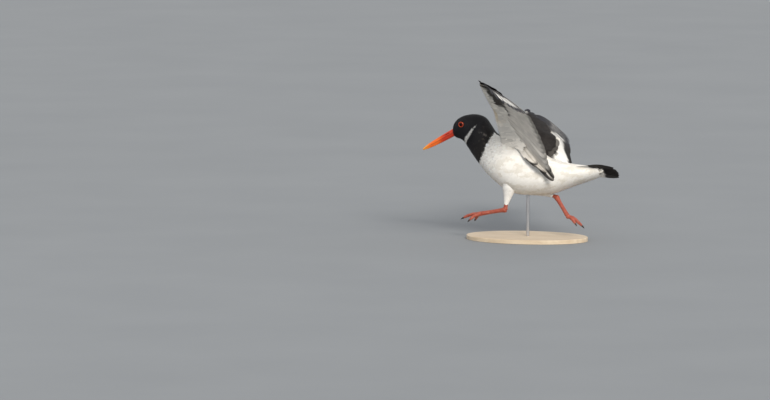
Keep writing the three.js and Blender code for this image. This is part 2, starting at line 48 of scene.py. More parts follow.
# ------------------------------------------------------------------ small maths
def catmull(rows, u):
    rows = np.asarray(rows, float)
    u = np.asarray(u, float)
    n = len(rows) - 1
    i = np.clip(np.floor(u).astype(int), 0, n - 1)
    t = (u - i)[..., None]
    p0, p1 = rows[np.maximum(i - 1, 0)], rows[i]
    p2, p3 = rows[i + 1], rows[np.minimum(i + 2, n)]
    return 0.5 * (2 * p1 + (p2 - p0) * t + (2 * p0 - 5 * p1 + 4 * p2 - p3) * t * t + (3 * p1 - p0 - 3 * p2 + p3) * t ** 3)


def keyed(rows, k):
    rows = np.asarray(rows, float)
    keys = rows[:, 0]
    k = np.asarray(k, float)
    i = np.clip(np.searchsorted(keys, k, side="left") - 1, 0, len(keys) - 2)
    t = np.clip((k - keys[i]) / (keys[i + 1] - keys[i]), 0, 1)
    return catmull(rows[:, 1:], i + t)


def unit(v):
    return v / np.maximum(np.linalg.norm(v, axis=-1, keepdims=True), 1e-9)


def smooth(a, b, x):
    t = np.clip((np.asarray(x, float) - a) / (b - a), 0, 1)
    return t * t * (3 - 2 * t)


def lerp(a, b, t):
    return a + (b - a) * t


def value_noise(p, scale, seed=0):
    """Smooth noise in 0..1 at points p (n, 3) in millimetres."""
    q = np.asarray(p, float) / scale + 37.2 * (seed + 1)
    i = np.floor(q).astype(np.int64)
    f = q - i
    f = f * f * (3 - 2 * f)
    out = 0
    for dx in (0, 1):
        for dy in (0, 1):
            for dz in (0, 1):
                c = i + (dx, dy, dz)
                h = (c[..., 0] * 374761393 + c[..., 1] * 668265263 + c[..., 2] * 2147483647 + seed * 1274126177) & 0xFFFFFFFF
                h = ((h ^ (h >> 13)) * 1274126177) & 0xFFFFFFFF
                h = ((h ^ (h >> 16)) & 0xFFFF) / 65535.0
                w = (f[..., 0] if dx else 1 - f[..., 0]) * (f[..., 1] if dy else 1 - f[..., 1]) * (f[..., 2] if dz else 1 - f[..., 2])
                out = out + h * w
    return out


# ------------------------------------------------------------------ meshes
def mesh_object(name, verts, quads, colours=None, fuv=None, uv=None, tris=None, smooth_shade=True):
    """Builds a mesh from numpy arrays: verts in millimetres, quads (n, 4) and tris (n, 3)."""
    me = bpy.data.meshes.new(name)
    verts = np.asarray(verts, np.float32) * MM
    quads = np.asarray(quads, np.int32).reshape(-1, 4)
    tris = np.zeros((0, 3), np.int32) if tris is None else np.asarray(tris, np.int32).reshape(-1, 3)
    me.vertices.add(len(verts))
    me.vertices.foreach_set("co", verts.ravel())
    loops = np.concatenate([quads.ravel(), tris.ravel()])
    me.loops.add(len(loops))
    me.loops.foreach_set("vertex_index", loops)
    me.polygons.add(len(quads) + len(tris))
    starts = np.concatenate([np.arange(len(quads)) * 4, len(quads) * 4 + np.arange(len(tris)) * 3])
    me.polygons.foreach_set("loop_start", starts.astype(np.int32))
    me.update(calc_edges=True)
    if smooth_shade:
        me.polygons.foreach_set("use_smooth", np.ones(len(me.polygons), bool))
    if colours is not None:
        a = me.color_attributes.new("Col", "FLOAT_COLOR", "POINT")
        c = np.ones((len(verts), 4), np.float32)
        c[:, :3] = colours
        a.data.foreach_set("color", c.ravel())
    if fuv is not None:
        a = me.attributes.new("fuv", "FLOAT_VECTOR", "POINT")
        a.data.foreach_set("vector", np.asarray(fuv, np.float32).ravel())
    if uv is not None:
        layer = me.uv_layers.new(name="OFBake")
        layer.data.foreach_set("uv", np.asarray(uv, np.float32)[loops].ravel())
    me.validate()
    ob = bpy.data.objects.new(name, me)
    bpy.context.scene.collection.objects.link(ob)
    return ob


def grid_quads(nr, nc, start=0, wrap=False):
    r = np.arange(nr - 1)[:, None]
    c = np.arange(nc if wrap else nc - 1)[None, :]
    c2 = (c + 1) % nc
    q = np.stack([r * nc + c, r * nc + c2, (r + 1) * nc + c2, (r + 1) * nc + c], -1)
    return q.reshape(-1, 4) + start


# ------------------------------------------------------------------ sizes, as in the frame
# y, z of the lower and upper ends of a section across the body, half width, roll
STATIONS = [
    [-153.5, 203.5, -156.5, 216, 6.5, 0],
    [-148, 200, -153.5, 229, 11, 0],
    [-139.5, 197.5, -143, 239.8, 15.5, 0],
    [-131.5, 192.5, -127, 246.3, 18.3, 0],
    [-127, 186, -106, 248, 20, 0],
    [-121.5, 178, -88, 242, 21.5, 0],
    [-114.5, 168.5, -77, 228, 24.5, 2],
    [-105, 157, -66, 212.5, 30, 5],
    [-94, 143.5, -50, 204.5, 37, 10],
    [-81, 129, -31, 199, 43, 15],
    [-64, 114.5, -10, 192, 47, 18],
    [-44, 101, 12, 184, 49.5, 20],
    [-20, 92, 31, 174.5, 49.5, 20],
    [18, 90.5, 50, 164.5, 46, 20],
    [54, 95, 70, 158.5, 39.5, 20],
    [82, 105, 90, 155.5, 32.5, 21],
    [106, 114.5, 110, 153.5, 27, 22],
    [129, 123, 130, 151.5, 22.5, 24],
    [149, 131.5, 147, 149, 17, 25],
]
EYE_RADIUS = 6.3
EYES = {"left": (13.2, -133.5, 228.0), "right": (-13.2, -133.5, 228.0)}
LEFT_WING = {
    "side": 1, "bow": 5,
    "bones": [[16, -40, 188], [32, -46, 254], [84, -66, 315], [148, -44, 321]],
    "tips": [[0, 309, 30, 320], [1, 304, 40, 309], [3, 274, 54, 292], [5, 234, 58, 279], [9, 152, 54, 263],
             [11, 122, 54, 247], [14, 94, 60, 214], [17, 76, 65, 184], [19, 68, 68, 160], [21, 61, 78, 132],
             [22, 58, 76, 126], [24, 52, 40, 156], [27, 46, 6, 178], [30, 38, -22, 190]],
}
RIGHT_WING = {
    "side": -1, "bow": 5,
    "bones": [[-36, -38, 170], [-57, -4, 207], [-105, -40, 243], [-169, -43, 236]],
    "tips": [[0, -340, -50, 193], [1, -334, -38, 187], [3, -300, -16, 181], [5, -258, 2, 179], [9, -184, 30, 171],
             [11, -150, 42, 166], [14, -114, 54, 157], [17, -92, 64, 147], [19, -80, 70, 140], [21, -68, 86, 120],
             [22, -67, 80, 119], [24, -66, 50, 134], [27, -62, 16, 150], [30, -56, -12, 160]],
}
LEFT_LEG = {"knee": [24, -26, 122], "ankle": [25, -38, 61], "foot": [22, -90, 51],
            "toes": [[5, -109, 34], [18, -134, 38], [33, -114, 35]], "thigh": 17}
RIGHT_LEG = {"knee": [-12, 14, 106], "ankle": [-10, 59, 85.5], "foot": [7.5, 88, 51],
             "toes": [[14, 109, 33], [-4, 119, 27], [-13, 107, 35]], "thigh": 16}
BILL_LENGTH, BILL_DEPTH, BILL_WIDTH = 76.0, 14.0, 11.0
TAIL_LENGTH = 94.0
WRIST_K, ELBOW_K, LAST, SHOULDER_K = 9.5, 19.5, 24, 30

# ------------------------------------------------------------------ colours (linear)
BLACK = np.array([0.012, 0.011, 0.013])
BLUE_BLACK = np.array([0.014, 0.013, 0.02])
BROWN_BLACK = np.array([0.019, 0.0165, 0.0155])
WHITE = np.array([0.87, 0.85, 0.81])
GREY_WHITE = np.array([0.62, 0.6, 0.57])


# ------------------------------------------------------------------ surfaces
class Surf:
    """A surface sampled on a grid: a runs with the lie of the coat, b across it. Millimetres."""

    def __init__(self, points, a_range, b_range, periodic=False, flip=False):
        self.P = points
        self.a0, self.a1 = a_range
        self.b0, self.b1 = b_range
        self.periodic = periodic
        na, nb = points.shape[:2]
        self.na, self.nb = na, nb
        self.da = (self.a1 - self.a0) / (na - 1)
        self.db = (self.b1 - self.b0) / (nb if periodic else nb - 1)
        Pa = np.gradient(points, self.da, axis=0)
        if periodic:
            Pb = (np.roll(points, -1, 1) - np.roll(points, 1, 1)) / (2 * self.db)
        else:
            Pb = np.gradient(points, self.db, axis=1)
        N = np.cross(Pa, Pb)
        self.N = unit(N) * (-1 if flip else 1)
        self.ma = np.linalg.norm(Pa, axis=-1)
        self.mb = np.maximum(np.linalg.norm(Pb, axis=-1), 1e-3)

    def _at(self, arr, a, b):
        fa = (np.asarray(a, float) - self.a0) / self.da
        fb = (np.asarray(b, float) - self.b0) / self.db
        ia = np.clip(np.floor(fa).astype(int), 0, self.na - 2)
        ta = fa - ia
        if self.periodic:
            ib = np.floor(fb).astype(int)
            tb = fb - ib
            ib0, ib1 = ib % self.nb, (ib + 1) % self.nb
        else:
            ib0 = np.clip(np.floor(fb).astype(int), 0, self.nb - 2)
            tb = fb - ib0
            ib1 = ib0 + 1
        if arr.ndim == 3:
            ta, tb = ta[..., None], tb[..., None]
        return (arr[ia, ib0] * (1 - ta) * (1 - tb) + arr[ia + 1, ib0] * ta * (1 - tb)
                + arr[ia, ib1] * (1 - ta) * tb + arr[ia + 1, ib1] * ta * tb)

    def point(self, a, b, h=0.0):
        n = unit(self._at(self.N, np.clip(a, self.a0, self.a1), b if self.periodic else np.clip(b, self.b0, self.b1)))
        return self._at(self.P, a, b) + n * np.asarray(h)[..., None]

    def metric(self, a, b):
        return self._at(self.ma, a, b), self._at(self.mb, a, b)


def body_points(u, phi, grow=0.0):
    """Body surface as the frame builds it; u (n,), phi (m,) -> (n, m, 3)."""
    s = catmull(STATIONS, u)
    fy, fz, by, bz, w, roll = (s[:, i] for i in range(6))
    c = np.stack([0 * fy, (fy + by) / 2, (fz + bz) / 2], -1)
    up = np.stack([0 * fy, by - fy, bz - fz], -1)
    h = np.linalg.norm(up, axis=-1) / 2 + grow
    up = unit(up)
    r = np.radians(roll)
    left = np.array([1.0, 0, 0])
    e1 = left * np.cos(r)[:, None] + up * np.sin(r)[:, None]
    e2 = up * np.cos(r)[:, None] - left * np.sin(r)[:, None]
    x, y = np.cos(phi), np.sin(phi)
    full = np.where(y < 0, 0.92, 0.96)
    X = np.sign(x) * np.abs(x) ** full
    Y = np.sign(y) * np.abs(y) ** 0.97
    return (c[:, None, :] + e1[:, None, :] * (X[None, :, None] * (w + grow)[:, None, None])
            + e2[:, None, :] * (Y[None, :, None] * h[:, None, None]))


def coat_depth(u):
    return np.interp(u, [0, 0.6, 2, 4, 6, 8, 10, 14, 17, 18], [0.5, 0.7, 0.9, 1.1, 1.7, 2.5, 3.0, 3.0, 2.4, 1.8])


NU, NV = 577, 256
U_GRID = np.linspace(0, 18, NU)
PHI_GRID = np.arange(NV) / NV * TAU
_outer = body_points(U_GRID, PHI_GRID)
BODY = Surf(_outer, (0, 18), (0, TAU), periodic=True)
# outward is away from the section's middle
_mid = _outer.mean(1, keepdims=True)
if ((_outer - _mid) * BODY.N).sum() < 0:
    BODY.N = -BODY.N
BODY_SKIN = Surf(_outer - BODY.N * coat_depth(U_GRID)[:, None, None], (0, 18), (0, TAU), periodic=True)
if ((BODY_SKIN.P - _mid) * BODY_SKIN.N).sum() < 0:
    BODY_SKIN.N = -BODY_SKIN.N


# ------------------------------------------------------------------ wings
class Wing:
    def __init__(self, spec):
        self.side = spec["side"]
        self.bow = spec["bow"]
        b = np.array(spec["bones"], float)
        self.bones = b
        ks = np.arange(-4, SHOULDER_K + 4.001, 0.05)

        def bone(k):
            k = np.clip(k, 0, SHOULDER_K)[:, None]
            hand = b[3] + (b[2] - b[3]) * (k / WRIST_K)
            fore = b[2] + (b[1] - b[2]) * ((k - WRIST_K) / (ELBOW_K - WRIST_K))
            upper = b[1] + (b[0] - b[1]) * ((k - ELBOW_K) / (SHOULDER_K - ELBOW_K))
            return np.where(k <= WRIST_K, hand, np.where(k <= ELBOW_K, fore, upper))

        g = np.exp(-np.array([-2, -1, 0, 1, 2]) ** 2 * 0.3)
        root = sum(w * bone(np.clip(ks, 0, SHOULDER_K) + d) for w, d in zip(g, (-2, -1, 0, 1, 2))) / g.sum()
        tip = keyed(spec["tips"], np.clip(ks, 0, SHOULDER_K))
        r0, r1 = root[np.searchsorted(ks, 0)], root[np.searchsorted(ks, 1)]
        t0, t5 = tip[np.searchsorted(ks, 0)], tip[np.searchsorted(ks, 0.5)]
        neg = ks < 0
        root[neg] = r0 + (r0 - r1) * (-ks[neg, None]) * 0.6
        tip[neg] = t0 + (t0 - t5) * (-ks[neg, None]) * 2
        self.ks, self.root_t, self.tip_t = ks, root, tip

    def _tab(self, table, k):
        f = (np.asarray(k, float) - self.ks[0]) / 0.05
        i = np.clip(np.floor(f).astype(int), 0, len(self.ks) - 2)
        t = np.clip(f - i, 0, 1)[..., None]
        return table[i] * (1 - t) + table[i + 1] * t

    def root(self, k):
        return self._tab(self.root_t, k)

    def tip(self, k):
        return self._tab(self.tip_t, k)

    def flat(self, k, t):
        t = np.asarray(t, float)[..., None]
        return self.root(k) * (1 - t) + self.tip(k) * t

    def normal(self, k, t):
        k, t = np.asarray(k, float), np.minimum(np.asarray(t, float), 0.97)
        dk = self.flat(k - 0.25, t) - self.flat(k + 0.25, t)
        dt = self.flat(k, t + 0.02) - self.flat(k, t - 0.02)
        return unit(np.cross(dk, dt)) * self.side

    def at(self, k, t, z=0.0):
        k, t = np.broadcast_arrays(np.asarray(k, float), np.asarray(t, float))
        z = np.asarray(z, float) + self.bow * np.sin(np.pi * np.clip(t, 0, 1))
        return self.flat(k, t) + self.normal(k, t) * z[..., None]


def ease(k, a, b):
    return np.clip((np.asarray(k, float) - a) / (b - a), 0, 1)


def arm_sizes(k):
    """cover, thickness and lead of the feathered arm and hand at feather number k."""
    k = np.asarray(k, float)
    hand = k < 9.2
    cover = np.where(hand, lerp(16, 40, ease(k, 0, 9)), 42 + 14 * ease(k, 9.5, 20) - 6 * ease(k, 24, 29.5))
    thick = np.where(hand, lerp(1.9, 5.2, ease(k, 0, 9)), 5.2 + 2.8 * ease(k, 9.5, 19) + 4 * ease(k, 22, 29.5))
    lead = np.where(hand, lerp(3, 7, ease(k, 0, 9)), 7 + 11 * np.sin(np.pi * ease(k, 9.5, 27)))
    return cover, thick, lead


class ArmSheets:
    """Upper and lower surfaces of the arm and hand; a runs from the leading edge (0) to the end of the coverts (1)."""

    def __init__(self, w, inset=0.0, na=41, nb=241, k_range=(0.0, 29.5)):
        self.w = w
        k = np.linspace(*k_range, nb)
        r = w.root(k)
        span = unit(w.root(k - 0.5) - w.root(k + 0.5))
        back = w.at(k, 0.4) - r
        back = unit(back - span * (back * span).sum(-1, keepdims=True))
        n = unit(np.cross(span, back)) * w.side
        cover, thick, lead = arm_sizes(k)
        cover = cover - inset * 1.5
        thick = thick - inset
        lead = lead - inset
        e = max(0.25, 1.3 - inset)
        zero = np.zeros_like(k)
        up = [(-lead, zero), (-lead * 0.6, thick * 0.75), (zero + 2, thick), (cover * 0.5, thick * 0.5 + e * 0.5), (cover, zero + e)]
        lo = [(-lead, zero), (-lead * 0.6, -thick * 0.6), (zero + 2, -thick * 0.8), (cover * 0.5, -thick * 0.35 - e * 0.5), (cover, zero - e)]
        self.back, self.n, self.span = back, n, span

        def sheet(rows, flip):
            pts = np.stack([np.stack([x, z], -1) for x, z in rows])  # 5, nb, 2
            a = np.linspace(0, 1, na)
            q = catmull(pts.reshape(5, -1), a * 4).reshape(na, nb, 2)
            x, z = q[..., 0], q[..., 1]
            bow = w.bow * np.sin(np.pi * np.minimum(0.5, np.maximum(0, x) / 110))
            P = r[None] + back[None] * x[..., None] + n[None] * (z + bow)[..., None]
            s = Surf(P, (0, 1), k_range)
            want = n[None] * (1 if not flip else -1)
            if (s.N * want).sum() < 0:
                s.N = -s.N
            return s

        self.upper = sheet(up, False)
        self.lower = sheet(lo, True)


WINGS = {"left": Wing(LEFT_WING), "right": Wing(RIGHT_WING)}
ARMS = {n: ArmSheets(w) for n, w in WINGS.items()}
ARM_SKINS = {n: ArmSheets(w, inset=0.9) for n, w in WINGS.items()}


# ------------------------------------------------------------------ thighs
def tube_frames(points):
    points = np.asarray(points, float)
    d = unit(np.gradient(points, axis=0))
    side = unit(np.cross(np.array([1, 0.2, 0.1]), d))
    up = np.cross(d, side)
    return d, side, up


class Leg:
    def __init__(self, spec):
        self.knee, self.ankle, self.foot = (np.array(spec[k], float) for k in ("knee", "ankle", "foot"))
        self.toes = np.array(spec["toes"], float)
        self.thigh_r = spec["thigh"]


LEGS = {"left": Leg(LEFT_LEG), "right": Leg(RIGHT_LEG)}


def thigh_surf(leg, inset=0.0):
    t = np.linspace(-0.1, 0.80, 61)
    r = np.interp(t, [-0.1, 0, 0.3, 0.55, 0.78, 0.82], [leg.thigh_r, leg.thigh_r, leg.thigh_r * 0.82, leg.thigh_r * 0.5, 5.0, 4.7]) - inset * np.interp(t, [0, 0.5, 0.8], [1, 0.7, 0.35])
    c = leg.knee + (leg.ankle - leg.knee) * t[:, None]
    _, side, up = tube_frames(c)
    f = np.arange(64) / 64 * TAU
    P = c[:, None] + side[:, None] * (np.cos(f)[None, :, None] * r[:, None, None]) + up[:, None] * (np.sin(f)[None, :, None] * r[:, None, None])
    s = Surf(P, (0, 1), (0, TAU), periodic=True)
    if ((P - c[:, None]) * s.N).sum() < 0:
        s.N = -s.N
    return s


# ------------------------------------------------------------------ markings
def section_height(u, phi):
    """0 at the throat and belly line, 1 at the crown and back line, of a section."""
    return (np.sin(phi) + 1) / 2


def body_marking(u, phi, p, seed=0):
    """Linear colour of the plumage at body coordinates u, phi and place p (mm)."""
    u = np.asarray(u, float)
    phi = np.mod(phi, TAU)
    f = section_height(u, phi)
    n1 = value_noise(p, 9, 1) - 0.5
    n2 = value_noise(p, 3.5, 2) - 0.5
    dorsal = np.degrees(np.abs(np.mod(phi - np.pi / 2 + np.pi, TAU) - np.pi))  # 0 along the back
    # black of head, neck and upper breast, with a ragged lower edge
    edge = np.interp(f, [0, 0.11, 0.29, 0.55, 0.75, 0.96, 1.0], [7.82, 7.76, 7.66, 7.42, 7.24, 7.0, 6.98]) + 0.12 * n1 + 0.12 * n2
    black = smooth(edge + 0.05, edge - 0.05, u)
    # black mantle and scapulars, with a white wedge up the lower back
    half = np.interp(u, [6.5, 8, 9.5, 11, 12.0, 12.6, 13.0], [12, 15, 36, 40, 38, 28, 0]) + 8 * n1
    wedge = np.interp(u, [10.6, 11.2, 12.2, 13.0], [-1, 6, 22, 40])
    mantle = (dorsal < half) & (dorsal > wedge) & (u > 6.5) & (u < 13)
    black = np.maximum(black, mantle.astype(float))
    tone = BLACK[None] * 1.0 + (BROWN_BLACK - BLACK)[None] * smooth(4.6, 7.4, u)[:, None]
    tone = tone * (1 + 0.5 * n1[:, None])
    # faint pale line across the side of the neck
    line = np.exp(-((f - 0.69 - 0.125 * (u - 5.81) + 0.03 * n1) / 0.028) ** 2) * smooth(5.3, 5.8, u) * smooth(7.1, 6.6, u) * smooth(-0.35, 0.1, n2)
    tone = tone + line[:, None] * np.array([0.10, 0.09, 0.08])
    # brown tips that show through the black of the lower neck
    speck = smooth(0.22, 0.42, n2 + 0.4 * n1) * smooth(4.8, 6.5, u)
    tone = tone + speck[:, None] * np.array([0.035, 0.026, 0.02])
    # white half collar from behind the eye to the throat
    us = np.interp(f, [0, 0.12, 0.21, 0.35, 0.56, 0.69, 0.78], [3.72, 3.78, 3.92, 4.2, 4.44, 4.69, 4.9])
    width = np.interp(f, [0, 0.12, 0.22, 0.35, 0.5, 0.62, 0.72, 0.76], [0.46, 0.42, 0.36, 0.30, 0.19, 0.12, 0.07, 0.0])
    strap = smooth(1.25, 0.7, np.abs(u - us - 0.2 * n1) / np.maximum(width, 1e-3)) * (f < 0.76)
    strap = strap * smooth(-0.20, 0.10, n2 + 0.22 * smooth(0.5, 0.15, f) + 0.12)
    head = tone * (1 - strap[:, None] * 0.92) + WHITE[None] * 0.82 * strap[:, None] * 0.92
    white = WHITE[None] * (1 + 0.05 * n1[:, None]) * np.array([1, 0.995, 0.985])
    # faint grey and buff streaks along the flank and under the tail
    streaks = smooth(0.52, 0.78, value_noise(p * np.array([1.0, 0.22, 1.0]), 4.5, 74)) * smooth(8.5, 10.5, u)
    white = white * (1 - streaks[:, None] * np.array([0.13, 0.15, 0.19]))
    return head * black[:, None] + white * (1 - black[:, None])


# ------------------------------------------------------------------ contour feathers
def feather_shape(t, pointed=0.0):
    """Half width of a body feather along its length, as a share of its greatest half width."""
    base = 0.42 + 0.58 * smooth(0.0, 0.45, t)
    q = np.clip((t - 0.5) / 0.5, 0, 1)
    return base * np.sqrt(np.maximum(0.0, 1 - q ** (2.1 - 0.7 * pointed))) + 0.16


def lay_feathers(surf, A, B, L, W, colour, nt=6, nx=5, low=-0.6, high=0.2, cup=0.18, fray=0.05, turn=0.0,
                 wander=0.10, seed=0, tone=0.10, pointed=0.0, lift=0.0, unwrap=None, keep=None, per_vertex=False):
    """Vertex arrays of feathers rooted at A, B on surf. low and high are the heights (mm) of root and tip."""
    r = rng(seed)
    n = len(A)
    L = np.broadcast_to(np.asarray(L, float), (n,)) * r.uniform(0.9, 1.1, n)
    W = np.broadcast_to(np.asarray(W, float), (n,)) * r.uniform(0.92, 1.1, n)
    ang = np.broadcast_to(np.asarray(turn, float), (n,)) + r.normal(0, wander, n)
    t = 1 - (1 - np.linspace(0, 1, nt)) ** 1.75
    x = np.linspace(-1, 1, nx)
    sh = feather_shape(t, pointed)
    TT = np.broadcast_to(t[:, None], (nt, nx))
    XX = np.broadcast_to(x[None, :], (nt, nx))
    # a frayed end: each column runs a little longer or shorter
    narrow = np.clip(sh - sh[-1], 0, 1)[None, :, None]
    fr = 0.5 * r.uniform(-fray, fray, (n, 1, nx)) * smooth(0.5, 1.0, TT)[None]
    along = L[:, None, None] * (TT[None] * (1 - 0.10 * XX[None] ** 2 * narrow) + fr)
    across = 0.5 * W[:, None, None] * sh[None, :, None] * XX[None]
    ca, sa = np.cos(ang)[:, None, None], np.sin(ang)[:, None, None]
    ma, mb = surf.metric(A, B)
    a = A[:, None, None] + (along * ca - across * sa) / np.maximum(ma, 1e-3)[:, None, None]
    b = B[:, None, None] + (along * sa + across * ca) / mb[:, None, None]
    low = np.broadcast_to(np.asarray(low, float), (n,))[:, None, None]
    high = np.broadcast_to(np.asarray(high, float), (n,))[:, None, None] + r.normal(0, 0.1, n)[:, None, None]
    h = low + (high - low) * TT[None] ** 0.8 - cup * (W / 10)[:, None, None] * XX[None] ** 2 * TT[None] + np.broadcast_to(np.asarray(lift, float), (n,))[:, None, None] * TT[None] ** 2
    P = surf.point(a, b, h)
    tip_i = max(0, nt - 2)
    at_tip = (a[:, tip_i, nx // 2], b[:, tip_i, nx // 2])
    c = colour(at_tip[0], at_tip[1], P[:, tip_i, nx // 2])
    c = c * (1 + r.normal(0, tone, n))[:, None].clip(0.6, 1.4)
    col = np.repeat(c, nt * nx, axis=0).reshape(n, nt, nx, 3)
    if per_vertex:
        col = colour(a.ravel(), b.ravel(), P.reshape(-1, 3)).reshape(n, nt, nx, 3) * (1 + r.normal(0, tone, n))[:, None, None, None].clip(0.6, 1.4)
    SN = unit(surf._at(surf.N, np.clip(a, surf.a0, surf.a1), b if surf.periodic else np.clip(b, surf.b0, surf.b1)))
    # painted shade: pale feathers are up to 5 % darker towards the root, where the row above lies over them, and the
    # end stays a little lighter
    lum = c.mean(1)[:, None, None, None]
    shade = 1 - 0.05 * (1 - smooth(0.0, 0.5, TT))[None, :, :, None] * (lum > 0.2)
    col = np.clip(col * shade, 0, 0.92)
    fuv = np.stack([across, along, np.broadcast_to(r.uniform(0, 50, n)[:, None, None], across.shape)], -1)
    if unwrap is None:
        ua = 0.02 + 0.96 * (A - surf.a0) / (surf.a1 - surf.a0)
        ub = 0.02 + 0.96 * np.mod((B - surf.b0) / (surf.b1 - surf.b0), 1.0)
    else:
        ua, ub = unwrap(A, B)
    uv = np.stack([ub[:, None, None] + 0.0014 * XX[None], ua[:, None, None] + 0.0014 * (2 * TT[None] - 1)], -1)
    i, j = nt // 2, nx // 2
    mid = P[:, i, j]
    face = np.cross(P[:, i, j + 1] - P[:, i, j - 1], P[:, i + 1, j] - P[:, i - 1, j])
    flip = (face * unit(surf._at(surf.N, np.clip(A, surf.a0, surf.a1), B if surf.periodic else np.clip(B, surf.b0, surf.b1)))).sum() < 0
    if keep is not None:
        ok = keep(P)
        P, col, fuv, uv, SN = P[ok], col[ok], fuv[ok], uv[ok], SN[ok]
    return {"P": P, "SN": SN, "col": col, "fuv": fuv, "uv": uv, "nt": nt, "nx": nx, "flip": flip}


def coat_object(name, batches, material, soft=0.5):
    """One joined mesh of feathers. soft is how far their shading follows the body under them."""
    V, Q, C, F, U, NN = [], [], [], [], [], []
    base = 0
    for s in batches:
        n = len(s["P"])
        if not n:
            continue
        nt, nx = s["nt"], s["nx"]
        q = grid_quads(nt, nx)
        if s["flip"]:
            q = q[:, ::-1]
        Q.append((q[None] + (np.arange(n) * nt * nx)[:, None, None]).reshape(-1, 4) + base)
        V.append(s["P"].reshape(-1, 3)); C.append(s["col"].reshape(-1, 3))
        F.append(s["fuv"].reshape(-1, 3)); U.append(s["uv"].reshape(-1, 2))
        NN.append(s["SN"].reshape(-1, 3))
        base += n * nt * nx
    V, Q, under = np.concatenate(V), np.concatenate(Q), np.concatenate(NN)
    # every face looks away from the body, also where a frayed end folds
    away = np.cross(V[Q[:, 2]] - V[Q[:, 0]], V[Q[:, 3]] - V[Q[:, 1]])
    back = (away * under[Q[:, 0]]).sum(1) < 0
    Q[back] = Q[back][:, ::-1]
    ob = mesh_object(name, V, Q, np.concatenate(C), np.concatenate(F), np.concatenate(U))
    ob.data.materials.append(material)
    own = np.empty(len(ob.data.vertices) * 3, np.float32)
    ob.data.vertices.foreach_get("normal", own)
    own = own.reshape(-1, 3)
    own = own * np.where((own * under).sum(-1, keepdims=True) < 0, -1, 1)
    ob.data.normals_split_custom_set_from_vertices(unit(under * soft + own * (1 - soft)).tolist())
    return ob


def rows_on(surf, a_from, a_to, step, spacing, seed, b_range=None):
    """Staggered rows of root places. step(a) and spacing(a) are in millimetres."""
    r = rng(seed)
    A, B = [], []
    a = a_from
    i = 0
    bm = (surf.b0 + surf.b1) / 2
    lo, hi = b_range if b_range else (surf.b0, surf.b1)
    while a < a_to:
        bs = np.linspace(lo, hi, 97)[:-1]
        mb = surf.metric(np.full(96, min(max(a, surf.a0), surf.a1)), bs)[1]
        arc = np.concatenate([[0], np.cumsum(mb * (hi - lo) / 96)])
        n = max(3, int(arc[-1] / spacing(a)))
        at = (np.arange(n) + (0.5 if i % 2 else 0.0) + r.uniform(-0.22, 0.22, n)) / n * arc[-1]
        b = np.interp(np.mod(at, arc[-1]), arc, np.linspace(lo, hi, 97))
        ma = surf.metric(np.full(n, min(max(a, surf.a0), surf.a1)), b)[0]
        A.append(a + r.uniform(-0.25, 0.25, n) * step(a) / np.maximum(ma, 1e-3))
        B.append(b)
        m = np.median(surf.metric(np.full(96, min(max(a, surf.a0), surf.a1)), bs)[0])
        a += step(a) / max(m, 1e-3)
        i += 1
    return np.concatenate(A), np.concatenate(B)


# ------------------------------------------------------------------ materials
class Nodes:
    def __init__(self, name):
        self.mat = bpy.data.materials.new(name)
        self.mat.use_nodes = True
        self.nt = self.mat.node_tree
        self.bsdf = next(n for n in self.nt.nodes if n.type == "BSDF_PRINCIPLED")

    def add(self, kind, **props):
        n = self.nt.nodes.new(kind)
        for k, v in props.items():
            if k in n.inputs:
                n.inputs[k].default_value = v
            else:
                setattr(n, k, v)
        return n

    def link(self, a, b):
        self.nt.links.new(a, b)

    def math(self, op, a, b=None, c=None, clamp=False):
        n = self.nt.nodes.new("ShaderNodeMath")
        n.operation = op
        n.use_clamp = clamp
        for i, v in enumerate((a, b, c)):
            if v is None:
                continue
            if isinstance(v, (int, float)):
                n.inputs[i].default_value = v
            else:
                self.link(v, n.inputs[i])
        return n.outputs[0]

    def ramp(self, value, stops):
        n = self.nt.nodes.new("ShaderNodeValToRGB")
        e = n.color_ramp.elements
        while len(e) > 1:
            e.remove(e[-1])
        e[0].position, e[0].color = stops[0][0], (*stops[0][1], 1)
        for pos, col in stops[1:]:
            x = e.new(pos)
            x.color = (*col, 1)
        self.link(value, n.inputs[0])
        return n.outputs[0]

    def mix(self, fac, a, b, mode="MIX"):
        n = self.nt.nodes.new("ShaderNodeMix")
        n.data_type = "RGBA"
        n.blend_type = mode
        for i, v in ((0, fac), (6, a), (7, b)):
            if isinstance(v, (int, float)):
                n.inputs[i].default_value = v
            elif isinstance(v, tuple):
                n.inputs[i].default_value = (*v, 1)
            else:
                self.link(v, n.inputs[i])
        return n.outputs[2]

    def bump(self, height, strength, distance):
        n = self.add("ShaderNodeBump", Strength=strength, Distance=distance)
        self.link(height, n.inputs["Height"])
        self.link(n.outputs[0], self.bsdf.inputs["Normal"])


